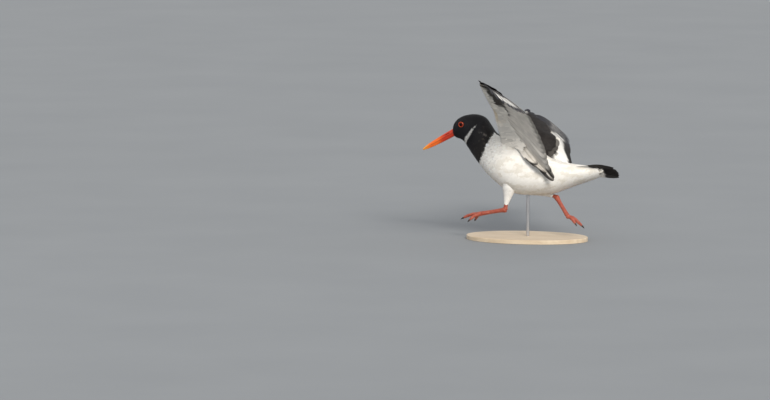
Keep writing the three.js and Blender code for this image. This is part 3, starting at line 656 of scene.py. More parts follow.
def feather_material(name, gloss=0.45, dull=0.72, barb=2.4, bump=0.35, sheen=0.0, specular=0.4):
    m = Nodes(name)
    col = m.add("ShaderNodeAttribute", attribute_name="Col")
    fuv = m.add("ShaderNodeAttribute", attribute_name="fuv")
    xyz = m.add("ShaderNodeSeparateXYZ")
    m.link(fuv.outputs["Vector"], xyz.inputs[0])
    ax = m.math("ABSOLUTE", xyz.outputs[0])
    bc = m.math("SUBTRACT", xyz.outputs[1], m.math("MULTIPLY", ax, 1.3))
    comb = m.add("ShaderNodeCombineXYZ")
    m.link(bc, comb.inputs[0])
    m.link(m.math("MULTIPLY", xyz.outputs[0], 0.12), comb.inputs[1])
    m.link(xyz.outputs[2], comb.inputs[2])
    noise = m.add("ShaderNodeTexNoise", Scale=barb, Detail=3.0, Roughness=0.6)
    m.link(comb.outputs[0], noise.inputs["Vector"])
    wide = m.add("ShaderNodeTexNoise", Scale=barb * 0.14, Detail=2.0)
    m.link(comb.outputs[0], wide.inputs["Vector"])
    lum = m.add("ShaderNodeSeparateColor")
    m.link(col.outputs["Color"], lum.inputs[0])
    pale = m.math("MULTIPLY", lum.outputs[1], 1.6, clamp=True)
    amount = m.math("ADD", m.math("MULTIPLY", noise.outputs["Fac"], 0.5), m.math("MULTIPLY", wide.outputs["Fac"], 0.4))
    # dark feathers vary strongly, pale ones a little
    dark_f = m.math("ADD", 0.5, m.math("MULTIPLY", amount, 1.15))
    pale_f = m.math("ADD", 0.9, m.math("MULTIPLY", amount, 0.2))
    fac = m.math("ADD", dark_f, m.math("MULTIPLY", pale, m.math("SUBTRACT", pale_f, dark_f)))
    comb2 = m.add("ShaderNodeCombineColor")
    for i in range(3):
        m.link(fac, comb2.inputs[i])
    m.link(m.mix(1.0, col.outputs["Color"], comb2.outputs[0], "MULTIPLY"), m.bsdf.inputs["Base Color"])
    m.link(m.math("ADD", gloss, m.math("MULTIPLY", pale, dull - gloss)), m.bsdf.inputs["Roughness"])
    m.bsdf.inputs["Specular IOR Level"].default_value = specular
    m.bsdf.inputs["Sheen Weight"].default_value = sheen
    m.bsdf.inputs["Sheen Roughness"].default_value = 0.5
    m.bump(noise.outputs["Fac"], bump, 0.0003)
    return m.mat


MAT_COAT = feather_material("plumage_body", gloss=0.5, dull=0.8, bump=0.5, specular=0.18)
MAT_HEAD = feather_material("plumage_head", gloss=0.44, dull=0.8, barb=3.2, bump=0.5, specular=0.22)
MAT_COVERT = feather_material("plumage_coverts", gloss=0.6, dull=0.8, bump=0.45, specular=0.10)
MAT_FLIGHT = feather_material("plumage_flight", gloss=0.58, dull=0.7, barb=1.6, bump=0.4, specular=0.10)


def skin_material():
    m = Nodes("skin_under_plumage")
    col = m.add("ShaderNodeAttribute", attribute_name="Col")
    tc = m.add("ShaderNodeTexCoord")
    n = m.add("ShaderNodeTexNoise", Scale=900.0, Detail=3.0)
    m.link(tc.outputs["Object"], n.inputs["Vector"])
    f = m.math("ADD", 0.72, m.math("MULTIPLY", n.outputs["Fac"], 0.5))
    c = m.add("ShaderNodeCombineColor")
    for i in range(3):
        m.link(f, c.inputs[i])
    m.link(m.mix(1.0, col.outputs["Color"], c.outputs[0], "MULTIPLY"), m.bsdf.inputs["Base Color"])
    m.bsdf.inputs["Roughness"].default_value = 0.8
    m.bump(n.outputs["Fac"], 0.5, 0.0005)
    return m.mat


MAT_SKIN = skin_material()


# ------------------------------------------------------------------ skin under the coat
def wing_tone(n, upper, k, a, p, seed=0):
    """Colour of the coverts: a is 0 at the leading edge and 1 at their hidden end."""
    k, a = np.asarray(k, float), np.asarray(a, float)
    noise = value_noise(p, 6, 5)[:, None]
    fine = value_noise(p, 2.5, 6)[:, None]
    if upper:
        col = BLACK[None] + (BROWN_BLACK - BLACK)[None] * smooth(7, 12, k)[:, None]
        col = col * (0.8 + 0.6 * noise)
        # the greater coverts of the arm end in white; that is the base of the white bar
        start = np.interp(k, [9, 12, 16, 19, 22, 24], [1.12, 1.0, 0.97, 0.97, 1.06, 1.15])
        white = smooth(start - 0.03, start + 0.03, a + 0.05 * (noise[:, 0] - 0.5)) * smooth(9.4, 10.0, k) * smooth(22.9, 22.3, k)
        # a white spot by the wrist
        white = np.maximum(white, smooth(0.18, 0.24, a) * smooth(0.5, 0.44, a) * smooth(8.6, 9.2, k) * smooth(10.8, 10.2, k) * smooth(0.3, 0.5, noise[:, 0]))
        col = col * (1 - white[:, None]) + WHITE[None] * white[:, None]
        lead = smooth(0.07, 0.02, a) * smooth(0, 4, k) * 0.3
        return col * (1 - lead[:, None]) + GREY_WHITE[None] * lead[:, None] * 0.5
    # under side: pale lining dulled to a grey-beige as painted shade of the underwing, with beige streaks, dark tips
    # along the leading edge and at the wrist
    col = np.repeat((WHITE * np.array([0.90, 0.875, 0.835]))[None], len(k), 0) * (0.72 + 0.3 * noise + 0.16 * fine)
    col = col * (1 + 0.16 * smooth(0.8, 0.95, a))[:, None]
    warm = smooth(0.9, 0.75, a)[:, None] * smooth(0.45, 0.75, value_noise(p, 14, 7))[:, None] * smooth(13, 16, k)[:, None] * smooth(24, 20, k)[:, None]
    col = col * (1 - 0.22 * warm * np.array([0.2, 0.6, 1.2]))
    spot = smooth(0.48, 0.6, fine[:, 0] * 0.5 + noise[:, 0] * 0.5) * smooth(0.28, 0.1, a) * smooth(19, 16, k)
    band = smooth(0.58, 0.72, a) * smooth(16.6, 15.4, k) * smooth(0.16, 0.3, fine[:, 0] * 0.4 + noise[:, 0] * 0.6)
    hand = smooth(9, 4, k) * smooth(0.2, 0.6, a) * 0.8
    inmost = smooth(0.80, 0.88, a) * smooth(19.2, 20.0, k) * 0.95 if n == "right" else 0 * a
    dark = np.clip(np.maximum(np.maximum(np.maximum(spot, band), hand), inmost), 0, 0.95)
    return col * (1 - dark[:, None]) + (BROWN_BLACK * 1.5)[None] * dark[:, None]


def leg_tone(p):
    return WHITE[None] * (0.92 + 0.1 * value_noise(p, 5, 8)[:, None])


def build_skin():
    V, Q, T, C = [], [], [], []
    base = 0

    def add(P, colours, wrap, cap):
        nonlocal base
        nr, nc = P.shape[:2]
        V.append(P.reshape(-1, 3)); C.append(colours.reshape(-1, 3))
        Q.append(grid_quads(nr, nc, base, wrap))
        if cap:
            for row in (0, nr - 1):
                c = base + nr * nc + (0 if row == 0 else 1)
                V.append(P[row].mean(0)[None]); C.append(colours.reshape(nr, nc, 3)[row].mean(0)[None])
                i = base + row * nc + np.arange(nc)
                j = base + row * nc + (np.arange(nc) + 1) % nc
                T.append(np.stack([i, j, np.full(nc, c)], -1))
            base += nr * nc + 2
        else:
            base += nr * nc

    u = np.linspace(0, 18, 181)
    phi = PHI_GRID[::2]
    uu, pp = np.meshgrid(u, phi, indexing="ij")
    P = BODY_SKIN.point(uu, pp, np.zeros_like(uu))
    add(P, body_marking(uu.ravel(), pp.ravel(), P.reshape(-1, 3)).reshape(*P.shape[:2], 3), True, True)
    for n in ("left", "right"):
        leg = LEGS[n]
        s = thigh_surf(leg, inset=1.6)
        add(s.P, leg_tone(s.P.reshape(-1, 3)).reshape(s.P.shape), True, True)
        sk = ARM_SKINS[n]
        up, lo = sk.upper, sk.lower
        rows = [i for i in range(0, 41, 2) if i <= 30]
        ring = np.concatenate([up.P[rows], lo.P[rows[::-1]]], 0).transpose(1, 0, 2)[::2]
        kk = np.linspace(0, 29.5, 241)[::2]
        a = np.array([i / 40 for i in rows] + [i / 40 for i in rows[::-1]])
        K, A = np.meshgrid(kk, a, indexing="ij")
        flat = ring.reshape(-1, 3)
        cu = wing_tone(n, True, K.ravel(), A.ravel(), flat).reshape(ring.shape)
        cl = wing_tone(n, False, K.ravel(), A.ravel(), flat).reshape(ring.shape)
        m = len(rows)
        col = np.concatenate([cu[:, :m], cl[:, m:]], 1)
        add(ring, col, True, True)
    ob = mesh_object("skin", np.concatenate(V), np.concatenate(Q), np.concatenate(C), tris=np.concatenate(T))
    # every shell faces out, then all become one surface
    import bmesh
    bm = bmesh.new()
    bm.from_mesh(ob.data)
    bmesh.ops.recalc_face_normals(bm, faces=bm.faces)
    bm.to_mesh(ob.data)
    bm.free()
    src = np.concatenate(V)
    cols = np.concatenate(C)
    tree = kdtree.KDTree(len(src))
    for i, p in enumerate(src):
        tree.insert(p * MM, i)
    tree.balance()
    mod = ob.modifiers.new("one surface", "REMESH")
    mod.mode = "VOXEL"
    mod.voxel_size = 0.0014
    mod.use_smooth_shade = True
    sm = ob.modifiers.new("smooth", "SMOOTH")
    sm.factor, sm.iterations = 0.5, 3
    dg = bpy.context.evaluated_depsgraph_get()
    me = bpy.data.meshes.new_from_object(ob.evaluated_get(dg))
    ob.modifiers.clear()
    old = ob.data
    ob.data = me
    bpy.data.meshes.remove(old)
    for a in list(me.color_attributes):
        me.color_attributes.remove(a)
    co = np.empty(len(me.vertices) * 3, np.float32)
    me.vertices.foreach_get("co", co)
    idx = np.array([tree.find(p)[1] for p in co.reshape(-1, 3)])
    at = me.color_attributes.new("Col", "FLOAT_COLOR", "POINT")
    c = np.ones((len(idx), 4), np.float32)
    c[:, :3] = cols[idx]
    at.data.foreach_set("color", c.ravel())
    me.polygons.foreach_set("use_smooth", np.ones(len(me.polygons), bool))
    me.materials.clear()
    me.materials.append(MAT_SKIN)
    return ob


skin = build_skin()
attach(skin, "root")
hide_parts("head", "neck", "trunk", "rump", "leg_left_thigh", "leg_right_thigh",
            "wing_left_arm", "wing_right_arm", "wing_left_hand", "wing_right_hand")

# ------------------------------------------------------------------ body coat
_bp = BODY.P[::6, ::4].reshape(-1, 3)
_bn = BODY.N[::6, ::4].reshape(-1, 3)


def depth_in_body(p):
    """How far points (n, 3) are outside the body; negative inside."""
    p = np.asarray(p, float)
    out = np.empty(len(p))
    for i in range(0, len(p), 2000):
        q = p[i:i + 2000]
        d = ((q[:, None] - _bp[None]) ** 2).sum(-1)
        j = d.argmin(1)
        out[i:i + 2000] = ((q - _bp[j]) * _bn[j]).sum(-1)
    return out


def clear_of_eyes(P):
    """Feathers, (n, nt, nx, 3), that leave the eyes bare."""
    ok = np.ones(len(P), bool)
    for e in EYES.values():
        d = np.hypot(P[..., 1] - e[1], P[..., 2] - e[2])
        ok &= ~((d < 6.0) & (P[..., 0] * np.sign(e[0]) > 8)).any((1, 2))
    return ok


def body_coat(name, u0, u1, length, width, spacing, step, seed, mat, slot, nt=6, nx=4, low=-0.42, high=0.1, keep=None,
              fray=0.07, cup=0.1, **more):
    A, B = rows_on(BODY, u0, u1, step, spacing, seed)
    L, W = length(A), width(A)
    s = lay_feathers(BODY, A, B, L, W, lambda a, b, p: body_marking(a, b, p), nt=nt, nx=nx, low=low * coat_depth(A), high=high,
                     seed=seed, keep=keep, fray=fray, cup=cup, **more)
    return s


def lin(us, vs):
    return lambda u: np.interp(u, us, vs)


_keys = [0, 0.6, 2, 4, 6, 7.5, 9, 11, 14, 16, 18]
_len = lin(_keys, [2.0, 2.4, 3.2, 4.4, 6.5, 9.5, 13, 16, 17, 18, 18])
_wid = lin(_keys, [0.9, 1.1, 1.5, 2.1, 3.2, 4.6, 6.2, 7.6, 7.8, 7.6, 7.4])
_spa = lin(_keys, [0.62, 0.7, 0.92, 1.2, 1.75, 2.3, 2.9, 3.3, 3.4, 3.3, 3.2])
_ste = lin(_keys, [0.7, 0.8, 1.0, 1.3, 1.85, 2.4, 2.9, 3.4, 3.5, 3.5, 3.4])

head_coat = coat_object("coat_head", [
    body_coat("head", 0.02, 6.1, _len, _wid, _spa, _ste, 11, MAT_HEAD, "head_feathers", nt=5, nx=4, high=0.1, low=-0.5, keep=clear_of_eyes,
              wander=0.12, tone=0.10)], MAT_HEAD)
neck_coat = coat_object("coat_neck", [
    body_coat("neck", 6.0, 9.1, _len, _wid, _spa, _ste, 12, MAT_COAT, "neck_feathers", wander=0.13, tone=0.08)], MAT_COAT)
trunk_coat = coat_object("coat_trunk", [
    body_coat("trunk", 9.0, 14.6, _len, _wid, _spa, _ste, 13, MAT_COAT, "body_feathers", wander=0.11, tone=0.02)], MAT_COAT)
rump_coat = coat_object("coat_rump", [
    body_coat("rump", 14.5, 17.7, _len, _wid, _spa, _ste, 14, MAT_COAT, "body_feathers", wander=0.1, tone=0.02),
    body_coat("rump2", 17.0, 17.9, lin([0, 18], [20, 20]), _wid, _spa, _ste, 15, MAT_COAT, "body_feathers", nt=7, low=-4.5, high=-4.5, wander=0.08, tone=0.03),
    body_coat("rump3", 17.2, 17.9, lin([0, 18], [22, 22]), _wid, _spa, _ste, 16, MAT_COAT, "body_feathers", nt=7, low=-8.5, high=-8.5, wander=0.05, tone=0.03),
], MAT_COAT)
for ob, slot in ((head_coat, "head_feathers"), (neck_coat, "neck_feathers"), (trunk_coat, "body_feathers"), (rump_coat, "body_feathers")):
    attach(ob, "root")

# thighs
for n in ("left", "right"):
    leg = LEGS[n]
    s = thigh_surf(leg)
    tl, tw = lin([0, 0.4, 1], [14, 10, 5.5]), lin([0, 0.4, 1], [8, 5.5, 2.6])
    A, B = rows_on(s, 0.0, 0.94, lin([0, 1], [3.2, 1.8]), lin([0, 1], [3.4, 1.5]), 21 if n == "left" else 22)
    batch = lay_feathers(s, A, B, tl(A), tw(A), lambda a, b, p: leg_tone(p), nt=6, nx=4, low=-1.0, high=0.0, seed=23, tone=0.03, cup=0.1,
                         keep=lambda P: depth_in_body(P[:, -2, 2]) > -2.5)
    ob = coat_object("coat_thigh_" + n, [batch], MAT_COAT)
    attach(ob, "root")

# ------------------------------------------------------------------ coverts
# root along the chord, length, width, spacing across (mm): upper side from the leading edge back
UPPER_ROWS = [(0.015, 6, 4.4, 3.0), (0.06, 7, 4.8, 3.2), (0.11, 8, 5.2, 3.4), (0.165, 9, 5.8, 3.7), (0.225, 10, 6.4, 4.0), (0.29, 11.5, 7.2, 4.4),
              (0.36, 13, 8.2, 4.9), (0.43, 15, 9.4, 5.4), (0.51, 17, 10.4, 6.0), (0.60, 19, 11.2, 6.4), (0.68, 25, 12.0, 6.8)]
LOWER_ROWS = [(0.015, 5, 3.8, 2.7), (0.055, 6, 4.4, 3.0), (0.10, 7.5, 5.0, 3.3), (0.155, 9, 5.8, 3.8), (0.22, 11, 6.8, 4.4), (0.30, 13, 8.0, 5.0),
              (0.39, 15, 9.2, 5.6), (0.49, 18, 10.2, 6.2), (0.60, 22, 11.0, 6.6), (0.74, 30, 12.0, 7.4)]


def covert_batches(n, upper):
    sheets = ARMS[n]
    w = WINGS[n]
    s = sheets.upper if upper else sheets.lower
    out = []
    # arc length along the span, to space the feathers
    kk = np.linspace(-0.3, 29.3, 300)
    arc = np.concatenate([[0], np.cumsum(np.linalg.norm(np.diff(w.root(kk), axis=0), axis=1))])
    for i, (a0, L, W, gap) in enumerate(UPPER_ROWS if upper else LOWER_ROWS):
        W, gap = W * 0.86, gap * 0.8
        r = rng(100 + i + (50 if upper else 0) + (500 if n == "left" else 0))
        shrink_hand = lambda k: 0.62 + 0.38 * smooth(1, 11, k)
        m = int(arc[-1] / gap * 1.12)
        at = (np.arange(m) + 0.5 + 0.5 * (i % 2) + r.uniform(-0.15, 0.15, m)) / m * arc[-1]
        k = np.interp(np.minimum(at, arc[-1]), arc, kk)
        cover = arm_sizes(k)[0]
        A = np.full(m, a0) + r.uniform(-0.01, 0.01, m)
        d = unit(w.at(k, 0.6) - w.at(k, 0.05))
        span = unit(w.root(k - 0.5) - w.root(k + 0.5))
        back = unit(d - span * (d * span).sum(-1, keepdims=True))
        turn = np.arctan2(-(d * span).sum(-1), (d * back).sum(-1)) * (0.45 + 0.55 * smooth(0.0, 0.5, a0))
        turn = np.clip(turn, -1.15, 1.15)
        size = shrink_hand(k) * np.clip(cover / 48, 0.5, 1.12)
        out.append(lay_feathers(s, A, k, L * size, W * np.maximum(0.72, size), lambda a, b, p: wing_tone(n, upper, b, a, p), nt=7, nx=5, per_vertex=upper,
                                low=-0.5, high=0.25 + 0.05 * (i % 2), turn=turn, wander=0.07, seed=300 + i + (50 if upper else 0), tone=0.06 if not upper else 0.10,
                                cup=0.1, fray=0.03,
                                unwrap=lambda A, B: (0.02 + 0.46 * np.clip(A, 0, 1) + (0.5 if upper else 0.0), 0.02 + 0.96 * np.clip(B, 0, 30) / 30),
                                keep=lambda P: depth_in_body(P[:, -2, 2]) > 0.5))
    return out


for n in ("left", "right"):
    ob = coat_object("coat_wing_" + n, covert_batches(n, True) + covert_batches(n, False), MAT_COVERT)
    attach(ob, "root")


# ------------------------------------------------------------------ flight feathers
XS = np.array([-1, -0.8, -0.6, -0.4, -0.24, -0.14, -0.05, 0, 0.05, 0.25, 0.5, 0.75, 1.0])  # inner edge, shaft, outer edge


def vane_width(t, point):
    """Share of the full width along a flight feather; point is 0 for a round end, 1 for a pointed one."""
    base = 0.12 + 0.88 * smooth(0.02, 0.28, t)
    start = 0.9 - 0.36 * point
    q = np.clip((t - start) / (1 - start), 0, 1)
    end = np.sqrt(np.maximum(0, 1 - q ** (2.6 - 1.1 * point)))
    return base * end


def flight_feather(path, normal, w_in, w_out, thick, tilt, camber, top, bottom, point, seed, nt=26, t0=0.0, shaft=0.5, splits=2, outer=1):
    """One closed feather. path(t), normal(t) for t in 0..1; top, bottom(t, x, p) give colours."""
    r = rng(seed)
    t = t0 + (1 - t0) * np.linspace(0, 1, nt) ** 0.85
    t = np.concatenate([t[:-1], [lerp(t[-2], 1, 0.6)], [1.0]])
    nt = len(t)
    C = path(t)
    D = unit(np.gradient(C, axis=0))
    N = normal(t)
    N = unit(N - D * (N * D).sum(-1, keepdims=True))
    lat = unit(np.cross(N, D)) * outer
    share = vane_width(t, point)
    wob = 1 + 0.05 * np.interp(t, np.linspace(0, 1, 9), r.uniform(-1, 1, 9))
    win = w_in * share * wob
    wout = w_out * share
    # a few barbs have come apart
    cutx = np.zeros((nt, len(XS)))
    for _ in range(splits):
        i = r.integers(int(nt * 0.35), nt - 5)
        d = r.uniform(0.12, 0.3)
        cutx[i, XS < -0.3] -= d * (np.abs(XS[XS < -0.3]) - 0.3)
    x = XS[None, :] * (1 + cutx)
    across = np.where(x < 0, x * win[:, None], x * wout[:, None])
    sweep = -np.abs(across) * 0.0
    z = tilt * across - camber * (across / max(w_in, w_out)) ** 2 * 1.0 * share[:, None]
    P = C[:, None] + lat[:, None] * across[..., None] + N[:, None] * z[..., None]
    along = np.linalg.norm(np.diff(C, axis=0), axis=1)
    along = np.concatenate([[0], np.cumsum(along)])
    half = thick * (0.35 + 0.65 * (1 - np.abs(XS)))[None, :] * (1 - 0.6 * t[:, None]) * 0.5
    ridge = np.where(XS == 0, shaft, np.where(np.abs(XS) < 0.06, shaft * 0.35, 0.0))[None, :] * (1 - 0.85 * t[:, None])
    up = P + N[:, None] * (half + ridge)[..., None]
    dn = P - N[:, None] * (half + ridge * 0.9)[..., None]
    X = np.broadcast_to(XS[None, :], across.shape)
    T = np.broadcast_to(t[:, None], across.shape)
    cu = top(T.ravel(), X.ravel(), up.reshape(-1, 3)).reshape(nt, -1, 3)
    cd = bottom(T.ravel(), X.ravel(), dn.reshape(-1, 3)).reshape(nt, -1, 3)
    fuv = np.stack([across, np.broadcast_to(along[:, None], across.shape), np.full(across.shape, r.uniform(0, 50))], -1)
    return {"up": up, "dn": dn, "cu": cu, "cd": cd, "fuv": fuv, "X": X, "T": T}


def face_out(ob, spans=()):
    """Turn faces outwards. A span holds a feather's first and last face and, for its upper faces, the way up."""
    import bmesh
    bm = bmesh.new()
    bm.from_mesh(ob.data)
    bmesh.ops.recalc_face_normals(bm, faces=bm.faces)
    bm.normal_update()
    bm.faces.ensure_lookup_table()
    for first, last, way in spans:
        total = sum(bm.faces[first + i].normal.dot(Vector(w)) * bm.faces[first + i].calc_area() for i, w in enumerate(way.tolist()))
        if total < 0:
            for i in range(first, last):
                bm.faces[i].normal_flip()
    bm.to_mesh(ob.data)
    bm.free()


def feather_group(name, feathers, nodes=(), mat=None):
    V, Q, C, F, U = [], [], [], [], []
    spans, count = [], 0
    base = 0
    cols = 10
    rows = math.ceil(len(feathers) * 2 / cols)
    cell = 0
    for f in feathers:
        nt, nx = f["X"].shape
        for key, ckey, flip in (("up", "cu", False), ("dn", "cd", True)):
            V.append(f[key].reshape(-1, 3)); C.append(f[ckey].reshape(-1, 3)); F.append(f["fuv"].reshape(-1, 3))
            q = grid_quads(nt, nx, base)
            Q.append(q[:, ::-1] if flip else q)
            c, r = cell % cols, cell // cols
            u = (c + 0.06 + 0.88 * (f["X"] + 1) / 2) / cols
            v = (r + 0.03 + 0.94 * f["T"]) / rows
            U.append(np.stack([u, v], -1).reshape(-1, 2))
            cell += 1
            base += nt * nx
        # close the rim between the two layers
        a, b = base - 2 * nt * nx, base - nt * nx
        rim = [i * nx for i in range(nt)] + [(nt - 1) * nx + j for j in range(1, nx)] + [i * nx + nx - 1 for i in range(nt - 2, -1, -1)] + [j for j in range(nx - 2, 0, -1)]
        rim = np.array(rim)
        nxt = np.roll(rim, -1)
        Q.append(np.stack([a + rim, b + rim, b + nxt, a + nxt], -1))
        thick = (f["up"] - f["dn"]).reshape(-1, 3)
        own = 2 * (nt - 1) * (nx - 1) + len(rim)
        spans.append((count, count + own, thick[grid_quads(nt, nx)].mean(1)))
        count += own
    ob = mesh_object(name, np.concatenate(V), np.concatenate(Q), np.clip(np.concatenate(C), 0, 0.92), np.concatenate(F), np.concatenate(U))
    face_out(ob, spans)
    ob.data.materials.append(mat or MAT_FLIGHT)
    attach(ob, "root")
    if nodes:
        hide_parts(*nodes)
    return ob


SHAFT_DARK = np.array([0.03, 0.022, 0.018])
SHAFT_PALE = np.array([0.66, 0.6, 0.5])


def wing_feather(n, k):
    w = WINGS[n]
    r = rng(int(700 + k * 7 + (300 if n == "left" else 0)))
    prim, sec = k < 10, 10 <= k < 20
    kk = k + r.uniform(-0.06, 0.06)
    reach = 1.0 + r.uniform(-0.012, 0.006)
    path = lambda t: w.at(np.full(len(t), kk), 0.03 + (reach - 0.03) * t)
    normal = lambda t: w.normal(np.full(len(t), kk), 0.03 + (reach - 0.03) * t)
    if prim:
        w_in, w_out, point = lerp(12.5, 14.5, k / 9), lerp(4.2, 8.0, k / 9), lerp(0.9, 0.35, k / 9)
    elif sec:
        w_in, w_out, point = 12.5, 8.0, 0.12
    else:
        w_in, w_out, point = 11.0, 9.0, 0.45

    def top(t, x, p):
        noise = value_noise(p, 7, 9)
        c = np.repeat(BLUE_BLACK[None] * 0.8, len(t), 0) if prim else np.repeat(BROWN_BLACK[None] * 0.9, len(t), 0)
        tn = t + 0.04 * (noise - 0.5)
        if prim:
            # a white streak beside the shaft, and a white base on the innermost ones
            streak = smooth(0.42, 0.55, tn) * smooth(0.93, 0.84, tn) * (np.abs(x + 0.14) < 0.03) * (0.85 if 1 < k < 9 else 0.3)
            if n == "left":
                # the raised near wing shows a broad white panel across its outer quills
                panel = smooth(0.52, 0.58, tn) * smooth(0.85, 0.80, tn) * smooth(0.9, 1.6, k) * smooth(7.5, 6.5, k) * (np.abs(x) < 0.62)
                streak = np.maximum(streak, 0.95 * panel)
            inner = smooth(0.56, 0.62, tn) * smooth(0.86, 0.8, tn) * smooth(8.5, 9.0, k) * (x < 0.1)
            white = np.maximum(streak, inner)
        elif sec:
            # white with a dark tip that shrinks inwards, and dark hidden bases on the outermost
            end = np.interp(k, [10, 12, 15, 18, 19.5], [0.80, 0.82, 0.82, 0.86, 0.9])
            white = smooth(end + 0.025, end - 0.025, tn + 0.05 * np.abs(x))
            white = white * np.where(x > 0.15, np.interp(k, [10, 11.5, 13], [0.2, 0.75, 1.0]), 1.0)
            white = white * np.interp(k, [9, 10, 11], [0.6, 0.9, 1])
            start = np.interp(k, [10, 11, 13, 16, 19.5], [0.52, 0.45, 0.385, 0.34, 0.31])
            white = white * smooth(start - 0.02, start + 0.03, tn)
        else:
            white = smooth(0.80, 0.7, tn) * smooth(23.4, 22.4, k) * smooth(0.44, 0.50, tn)
        c = c * (0.8 + 0.5 * noise[:, None])
        c = c * (1 - white[:, None]) + WHITE[None] * 0.98 * white[:, None]
        sh = np.abs(x) < 0.06
        tone = SHAFT_PALE if prim else SHAFT_DARK * 1.4
        mixs = (0.07 if prim else 0.3)
        return np.where(sh[:, None], c * (1 - mixs) + tone[None] * mixs * (0.3 + 0.7 * smooth(0.9, 0.4, t))[:, None], c)

    def bottom(t, x, p):
        noise = value_noise(p, 9, 19)[:, None]
        fine = value_noise(p, 3.5, 20)[:, None]
        # pale, the grey-beige of the under faces, sits well below the white of the upper faces: partly painted shade of
        # the underwing, partly the quills' own greyer underside
        pale = np.array([0.62, 0.585, 0.535])
        if prim:
            a = np.interp(k, [0, 1, 1.6, 2, 3, 5, 9], [0.0, 0.0, 0.0, 0.76, 0.84, 0.88, 0.9])
            f = smooth(a, a + 0.1, t + 0.05 * (noise[:, 0] - 0.5))[:, None]
            c = (pale * 1.2)[None] * (1 - f) + (BLUE_BLACK * 0.8)[None] * f
            patch = (smooth(0.5, 0.58, t) * smooth(7.0, 5.5, k) * (t < a))[:, None]
            c = c * (1 - patch) + (WHITE * 0.95)[None] * patch
            web = ((x > 0.1) * np.interp(k, [0, 5, 9], [0.9, 0.75, 0.35]) * np.where((x < 0.78) & (t > 0.5), 0.06, 1.0))[:, None]
            c = c * (1 - web) + (BLUE_BLACK * 0.9)[None] * web
        elif sec:
            end = np.interp(k, [10, 12, 15, 18, 19.5], [0.88, 0.9, 0.92, 0.95, 0.98])
            f = smooth(end - 0.03, end + 0.03, t)[:, None]
            c = (pale * 1.12)[None] * (1 - f) + (pale * 0.5)[None] * f
            c = c * np.where(x > 0.5, 0.72, 1.0)[:, None]
        else:
            # only the free lower edges and the tips are dark
            tk, xk = {20: (0.93, -0.1), 21: (0.80, 0.3), 22: (0.72, -0.35), 23: (0.68, -0.6), 24: (0.70, -0.75)}[k]
            dark = smooth(tk, tk + 0.06, t) * smooth(xk + 0.12, xk - 0.05, x) * 0.95
            dark = np.maximum(dark, smooth(0.9, 0.97, t) * 0.85)
            dark = np.maximum(dark, 0.3 * (x > 0.72) * smooth(0.5, 0.6, t))[:, None]
            c = (pale * 1.05)[None] * (1 - dark) + (BROWN_BLACK * 1.6)[None] * dark
        if 5.5 < k < 15.5:
            foot = (smooth(0.36, 0.30, t + 0.05 * np.abs(x)) * 0.93)[:, None]
            c = c * (1 - foot) + (BROWN_BLACK * 1.2)[None] * foot
        c = c * (0.8 + 0.24 * noise + 0.14 * fine)
        sh = np.abs(x) < 0.06
        return np.where(sh[:, None], c * 0.4 + (SHAFT_PALE * 0.3)[None], c)

    return flight_feather(path, normal, w_in, w_out, 0.5, 0.06, 0.6, top, bottom, point, seed=int(900 + k * 3 + (400 if n == "left" else 0)),
                          nt=28, splits=3 if prim else 2, outer=-w.side)


def alula_feathers(n):
    w = WINGS[n]
    d = unit(w.bones[3] - w.bones[2])
    nn = w.normal(np.array([6.0]), np.array([0.1]))[0]
    front = -w.side * unit(np.cross(nn, d))
    a0 = w.root(np.array([8.8]))[0] + front * 5.2 + nn * 2
    ad = unit(d + front * 0.16 + nn * 0.06)
    out = []
    for i, (L, off) in enumerate(((43, 0), (36, -2.5), (28, -5))):
        c0 = a0 + front * off * 0.6 - nn * 0.35 * i - ad * 3
        path = lambda t, c0=c0, L=L: c0[None] + ad[None] * (L * t)[:, None] - front[None] * (3.0 * t ** 2)[:, None]
        normal = lambda t: np.repeat(nn[None], len(t), 0)

        def tone(t, x, p):
            return np.repeat(BLUE_BLACK[None], len(t), 0) * (0.8 + 0.6 * value_noise(p, 5, 3)[:, None])

        def under(t, x, p):
            return np.repeat(np.array([[0.09, 0.08, 0.08]]), len(t), 0) * (0.8 + 0.5 * value_noise(p, 5, 3)[:, None])
        out.append(flight_feather(path, normal, 4.6, 3.4, 0.4, 0.02, 0.3, tone, under, 0.6, 1700 + i, nt=16, shaft=0.3, splits=0))
    return out


for n in ("left", "right"):
    feather_group("feathers_primary_" + n, [wing_feather(n, k) for k in range(10)], ["wing_%s_primaries" % n])
    feather_group("feathers_secondary_" + n, [wing_feather(n, k) for k in range(10, 20)], ["wing_%s_secondaries" % n])
    feather_group("feathers_tertial_" + n, [wing_feather(n, k) for k in range(20, 25)], ["wing_%s_tertials" % n])
    feather_group("feathers_alula_" + n, alula_feathers(n), ["wing_%s_alula" % n])

